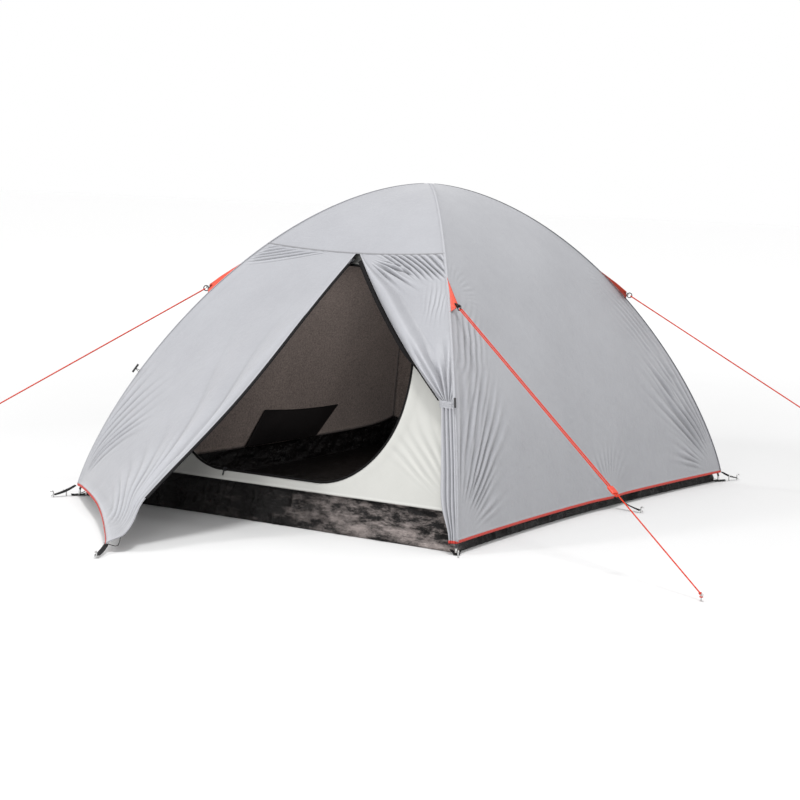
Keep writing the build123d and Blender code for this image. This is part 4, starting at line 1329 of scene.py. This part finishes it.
def on_wall(xz, out=0.0):
    """Points of the inner front wall, moved towards the front by out."""
    xz = np.asarray(xz, float)
    return np.stack([xz[:, 0], wall_y(xz[:, 1]) - out, xz[:, 1]], 1)


def closed_ribbon(name, xz, offset, width, out, thickness=0.0009):
    """A flat band beside the doorway's edge, following the wall."""
    nxt, before = np.roll(xz, -1, 0), np.roll(xz, 1, 0)
    run = units(nxt - before)
    away = np.stack([run[:, 1], -run[:, 0]], 1)
    rows = [
        on_wall(xz + away * (offset + width * k), out + 0.0006 * (1 - 4 * k * k))
        for k in (-0.5, -0.25, 0, 0.25, 0.5)
    ]
    grid = np.stack(rows, 1)
    grid = np.vstack([grid, grid[:1]])
    u = arc_lengths(grid[:, 2])
    uv = np.stack(np.meshgrid(u, np.linspace(-0.5, 0.5, 5) * width, indexing="ij"), -1)
    return cloth_grid(name, grid, uv, thickness)


door_line = door_outline(420)
inner_tape = closed_ribbon("inner_zip_tape", door_line, 0.0035, 0.008, 0.0016)
finish_piece(inner_tape, zip_tape, ["inner_zip"])
tooth_line = door_outline(900, 0.0025)
tooth_path = on_wall(np.vstack([tooth_line, tooth_line[:1]]), 0.0026)
inner_teeth = tube(
    "inner_zip_coil", tooth_path, 0.0015, 8, taper=1 + 0.24 * np.cos(np.arange(len(tooth_path)) * pi)
)
finish_piece(inner_teeth, zip_tape, ["inner_zip"])
declare(front_wall)

# Inner door, rolled up at the left jamb and tied with a doubled band
roll_z = np.linspace(0.300, 0.700, 90)
rise = np.clip(roll_z - SPRING, 0, None) / DOOR_ARCH
roll_reach, roll_height = arch(DEPTH / 2, roll_z, INNER_INSET + 0.0305)
roll_line = np.stack([-DOOR_HALF * np.sqrt(1 - rise**2), -roll_reach, roll_height], 1)
share = np.linspace(0, 1, 90)
waist = 1 - 0.26 * np.exp(-(((share - 0.45) / 0.035) ** 2)) + 0.06 * noise(share * 9, share * 0 + 2, 151)
waist *= 0.72 + 0.28 * smooth(0.0, 0.06, share) * smooth(1.0, 0.94, share)
ROLL_TURNS = 10.5
spiral = np.linspace(0, 2 * pi * ROLL_TURNS, 300)
run = units(np.gradient(roll_line, axis=0))
side = units(np.cross(run, (0, 1.0, 0)))
top = np.cross(side, run)
grow = 0.008 + 0.0175 * spiral / spiral[-1]
ripple = 1 + 0.05 * folds(share[:, None] * 3 + spiral[None, :], 1.2)
roll_grid = (
    roll_line[:, None]
    + (waist[:, None] * grow[None, :] * ripple * np.cos(spiral)[None, :])[..., None] * side[:, None]
    + (waist[:, None] * grow[None, :] * np.sin(spiral)[None, :])[..., None] * top[:, None]
)
door_roll = cloth_grid("inner_door_rolled", roll_grid, thickness=0.0005)
finish_piece(door_roll, inner_cloth, ["inner_door_roll"])
turn = np.linspace(0, 2 * pi, 41)
TIE_AT = 40  # step along the roll at which it is tied
ties = []
for at in (TIE_AT, TIE_AT + 1):
    loop = roll_line[at] + 0.0215 * (np.outer(np.cos(turn), side[at]) + np.outer(np.sin(turn), top[at]))
    ties.append(ribbon(f"tie_{at}", loop, np.broadcast_to(run[at], loop.shape), 0.014, 0.0012))
bow = roll_line[TIE_AT] + side[TIE_AT] * 0.022
ties.append(tube("tie_toggle", [bow - run[TIE_AT] * 0.014, bow + run[TIE_AT] * 0.014], 0.003, 12))
tie = join("inner_door_tie_strap", ties)
finish_piece(tie, inner_cloth, ["inner_door_tie"])

# Mesh pocket on the left wall
left_wall = inner_pieces["left"]


def left_wall_x(y, z):
    """Where the left wall hangs, at places given as arrays."""
    row = np.interp(
        z, left_wall.points[:, left_wall.points.shape[1] // 2, 2], np.arange(left_wall.points.shape[0])
    )
    wide = np.interp(row, np.arange(len(left_wall.half_width)), left_wall.half_width[:, 0])
    side = np.sign(left_wall.points[0, -1, 1])
    column = (side * y / wide + 1) / 2 * (left_wall.points.shape[1] - 1)
    i, j = np.minimum(row.astype(int), len(left_wall.points) - 2), column.astype(int)
    fi, fj = row - i, column - j
    x = left_wall.points[..., 0]
    low = x[i, j] * (1 - fj) + x[i, j + 1] * fj
    high = x[i + 1, j] * (1 - fj) + x[i + 1, j + 1] * fj
    return low * (1 - fi) + high * fi


pocket_v = np.linspace(0, 1, 40)[:, None] + np.zeros((1, 60))
pocket_u = np.linspace(0, 1, 60)[None, :] + np.zeros((40, 1))
pocket_y = (-0.190 + 0.532 * pocket_u) * (1 - pocket_v) + (-0.103 + 0.565 * pocket_u) * pocket_v
pocket_z = 0.109 * (1 - pocket_v) + (0.262 - 0.022 * pocket_u - 0.008 * np.sin(pi * pocket_u)) * pocket_v
belly = 0.014 * np.sin(pi * pocket_v) * np.sin(pi * pocket_u) ** 0.6
belly += 0.003 * noise(pocket_u * 6, pocket_v * 2, 161)
pocket_grid = np.stack([left_wall_x(pocket_y, pocket_z) + belly + 0.007, pocket_y, pocket_z], -1)
pocket = cloth_grid("inner_pocket_mesh", pocket_grid, thickness=0.0009)
finish_piece(pocket, mesh_cloth, ["inner_pocket"])
bind = tube("inner_pocket_binding", pocket_grid[-1], 0.0032, 10, squash=0.5, flat_side=(1, 0, 0))
finish_piece(bind, mesh_cloth)
declare(pocket)

# Tub floor: one glossy laminated sheet, folded up at the edges --------------------------------------
RIM_X, RIM_Y = at_rim(WIDTH / 2)[1], at_rim(DEPTH / 2)[1]
LEAN = 0.036


def tub_loop(half_x, half_y, bow_x, bow_back, bow_front, count):
    """A closed loop round the floor, starting at the front left corner, whose sides bow inward."""
    corners = [(-half_x, -half_y), (half_x, -half_y), (half_x, half_y), (-half_x, half_y)]
    bows = [(0, bow_front), (-bow_x, 0), (0, -bow_back), (bow_x, 0)]
    points = []
    for k in range(4):
        a, b = np.array(corners[k]), np.array(corners[(k + 1) % 4])
        n = int(count * np.linalg.norm(b - a) / (4 * (half_x + half_y)))
        s = np.linspace(0, 1, n, endpoint=False)[:, None]
        sag = (1 - (2 * s - 1) ** 8) * (k > 0)
        points.append(np.hstack([a + (b - a) * s + 4 * s * (1 - s) * np.array(bows[k]), sag]))
    return np.concatenate(points)


TUB_COUNT = 1300
rim_loop = tub_loop(RIM_X, RIM_Y, INNER_BOW, INNER_BOW, 0.0, TUB_COUNT)
rim_z = TUB_Z - RIM_SAG * rim_loop[:, 2]
rim_loop = rim_loop[:, :2]
ground_loop = tub_loop(RIM_X + LEAN, RIM_Y + LEAN, 0.048, 0.048, 0.008, TUB_COUNT)[:, :2]
around = arc_lengths(np.vstack([ground_loop, ground_loop[:1]]))[:-1]
wall_t = np.linspace(0, 1, 26)
floor_t = np.linspace(0, 1, 46)[1:]
rows, profile = [], []
inward = -ground_loop / np.linalg.norm(ground_loop, axis=1, keepdims=True)


def crease(scale, seed, at):
    """Sharp creases along the sheet, at a distance in from its rim."""
    return 1 - 2.2 * np.abs(noise(around / scale + 30, 0 * around + at / scale + 30, seed))


for k in wall_t:
    flat_xy = rim_loop * (1 - k) + ground_loop * k
    z = rim_z * (1 - k) ** 1.08
    free = smooth(0.0, 0.12, k) * smooth(1.0, 0.86, k)
    crinkle = 0.0075 * crease(0.085, 171, k * 0.12) + 0.0042 * crease(0.034, 173, k * 0.12)
    crinkle = crinkle + 0.006 * crease(0.26, 175, k * 0.1)
    row = np.column_stack([flat_xy - inward * (crinkle * free)[:, None], z])
    row[:, 2] += 0.004 * free * crease(0.06, 177, k * 0.12)
    row[:, 2] = np.maximum(row[:, 2], 0.0012)
    rows.append(row)
    profile.append(k * 0.136)
for k in floor_t:
    flat_xy = ground_loop * (1 - k * 0.995)
    lift = 0.0012 + 0.0035 * np.clip(crease(0.12, 179, k * 1.0), 0, 1) * smooth(0.0, 0.05, k)
    rows.append(np.column_stack([flat_xy, lift]))
    profile.append(0.136 + k * 0.9)
tub_grid = np.array(rows)
tub_uv = np.stack(
    [around[None, :] + 0 * tub_grid[..., 0], np.array(profile)[:, None] + 0 * tub_grid[..., 0]], -1
)
tub = cloth_grid("groundsheet_tub", tub_grid, tub_uv, 0.0007, close=True)
finish_piece(tub, film, ["groundsheet"])
rim_tape = tube(
    "groundsheet_seam",
    np.column_stack([np.vstack([rim_loop, rim_loop[:1]]) * 1.001, np.append(rim_z, rim_z[0])]), 0.0034, 10,
    squash=0.5, flat_side=(0, 0, 1), caps=False
)
finish_piece(rim_tape, film)

# Corner straps: each pole tip stands in an eyelet of a webbing V ------------------------------------
straps, rings = [], []
for name, (side_x, side_y) in CORNERS.items():
    inset = 0.0245 if side_x * side_y < 0 else 0.014
    foot = ridge(0.026, side_x, side_y, inset)
    corner = np.array([side_x * (RIM_X + LEAN), side_y * (RIM_Y + LEAN), 0.0])
    out = unit((foot - corner) * (1, 1, 0))
    end = foot * (1, 1, 0) + out * 0.034 + UP * 0.0065
    side = np.cross(UP, out)
    for turn, start in (
        (0.30, corner + UP * 0.012 - side * 0.016), (-0.30, corner + UP * 0.012 + side * 0.016)
    ):
        s = np.linspace(0, 1, 20)[:, None]
        line = start + (end - start) * s - UP * 0.004 * np.sin(pi * s)
        straps.append(
            ribbon(f"corner_{name}{turn}", line, np.broadcast_to(side, line.shape), 0.010, 0.0014, rows=5)
        )
    plate = foot * (1, 1, 0) + UP * 0.0032 + out * 0.004
    line = plate + np.linspace(-0.026, 0.028, 14)[:, None] * out
    straps.append(ribbon(f"plate_{name}", line, np.broadcast_to(side, line.shape), 0.022, 0.0022, rows=7))
    turn = np.linspace(0, 2 * pi, 29)
    eyelet = foot * (1, 1, 0) + UP * 0.0055 + 0.0062 * (
        np.outer(np.cos(turn), out) + np.outer(np.sin(turn), side)
    )
    rings.append(tube(f"eyelet_{name}", eyelet, 0.0014, 8, caps=False))
corner_straps = join("corner_straps", straps)
finish_piece(corner_straps, webbing, ["corner_webbing"])
eyelets = join("corner_eyelets", rings)
finish_piece(eyelets, bright_metal)

# Finishes of the CAD parts that show as they are ----------------------------------------------------
LOOKS = {
    "pole_tips": bright_metal,
    "pole_a": pole_tube,
    "pole_b": pole_tube,
    "guy_ring": black_plastic,
    "guy_runner": red_plastic,
    "outer_zip_slider": dark_metal,
    "outer_zip_pull": dark_metal,
    "inner_zip_slider": dark_metal,
    "inner_zip_pull": dark_metal,
    "toggle": black_plastic,
    "peg_heads": zinc_steel,
}
for node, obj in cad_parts.items():
    for start, look_of in LOOKS.items():
        if node.startswith(start):
            obj.data.materials.clear()
            obj.data.materials.append(look_of)
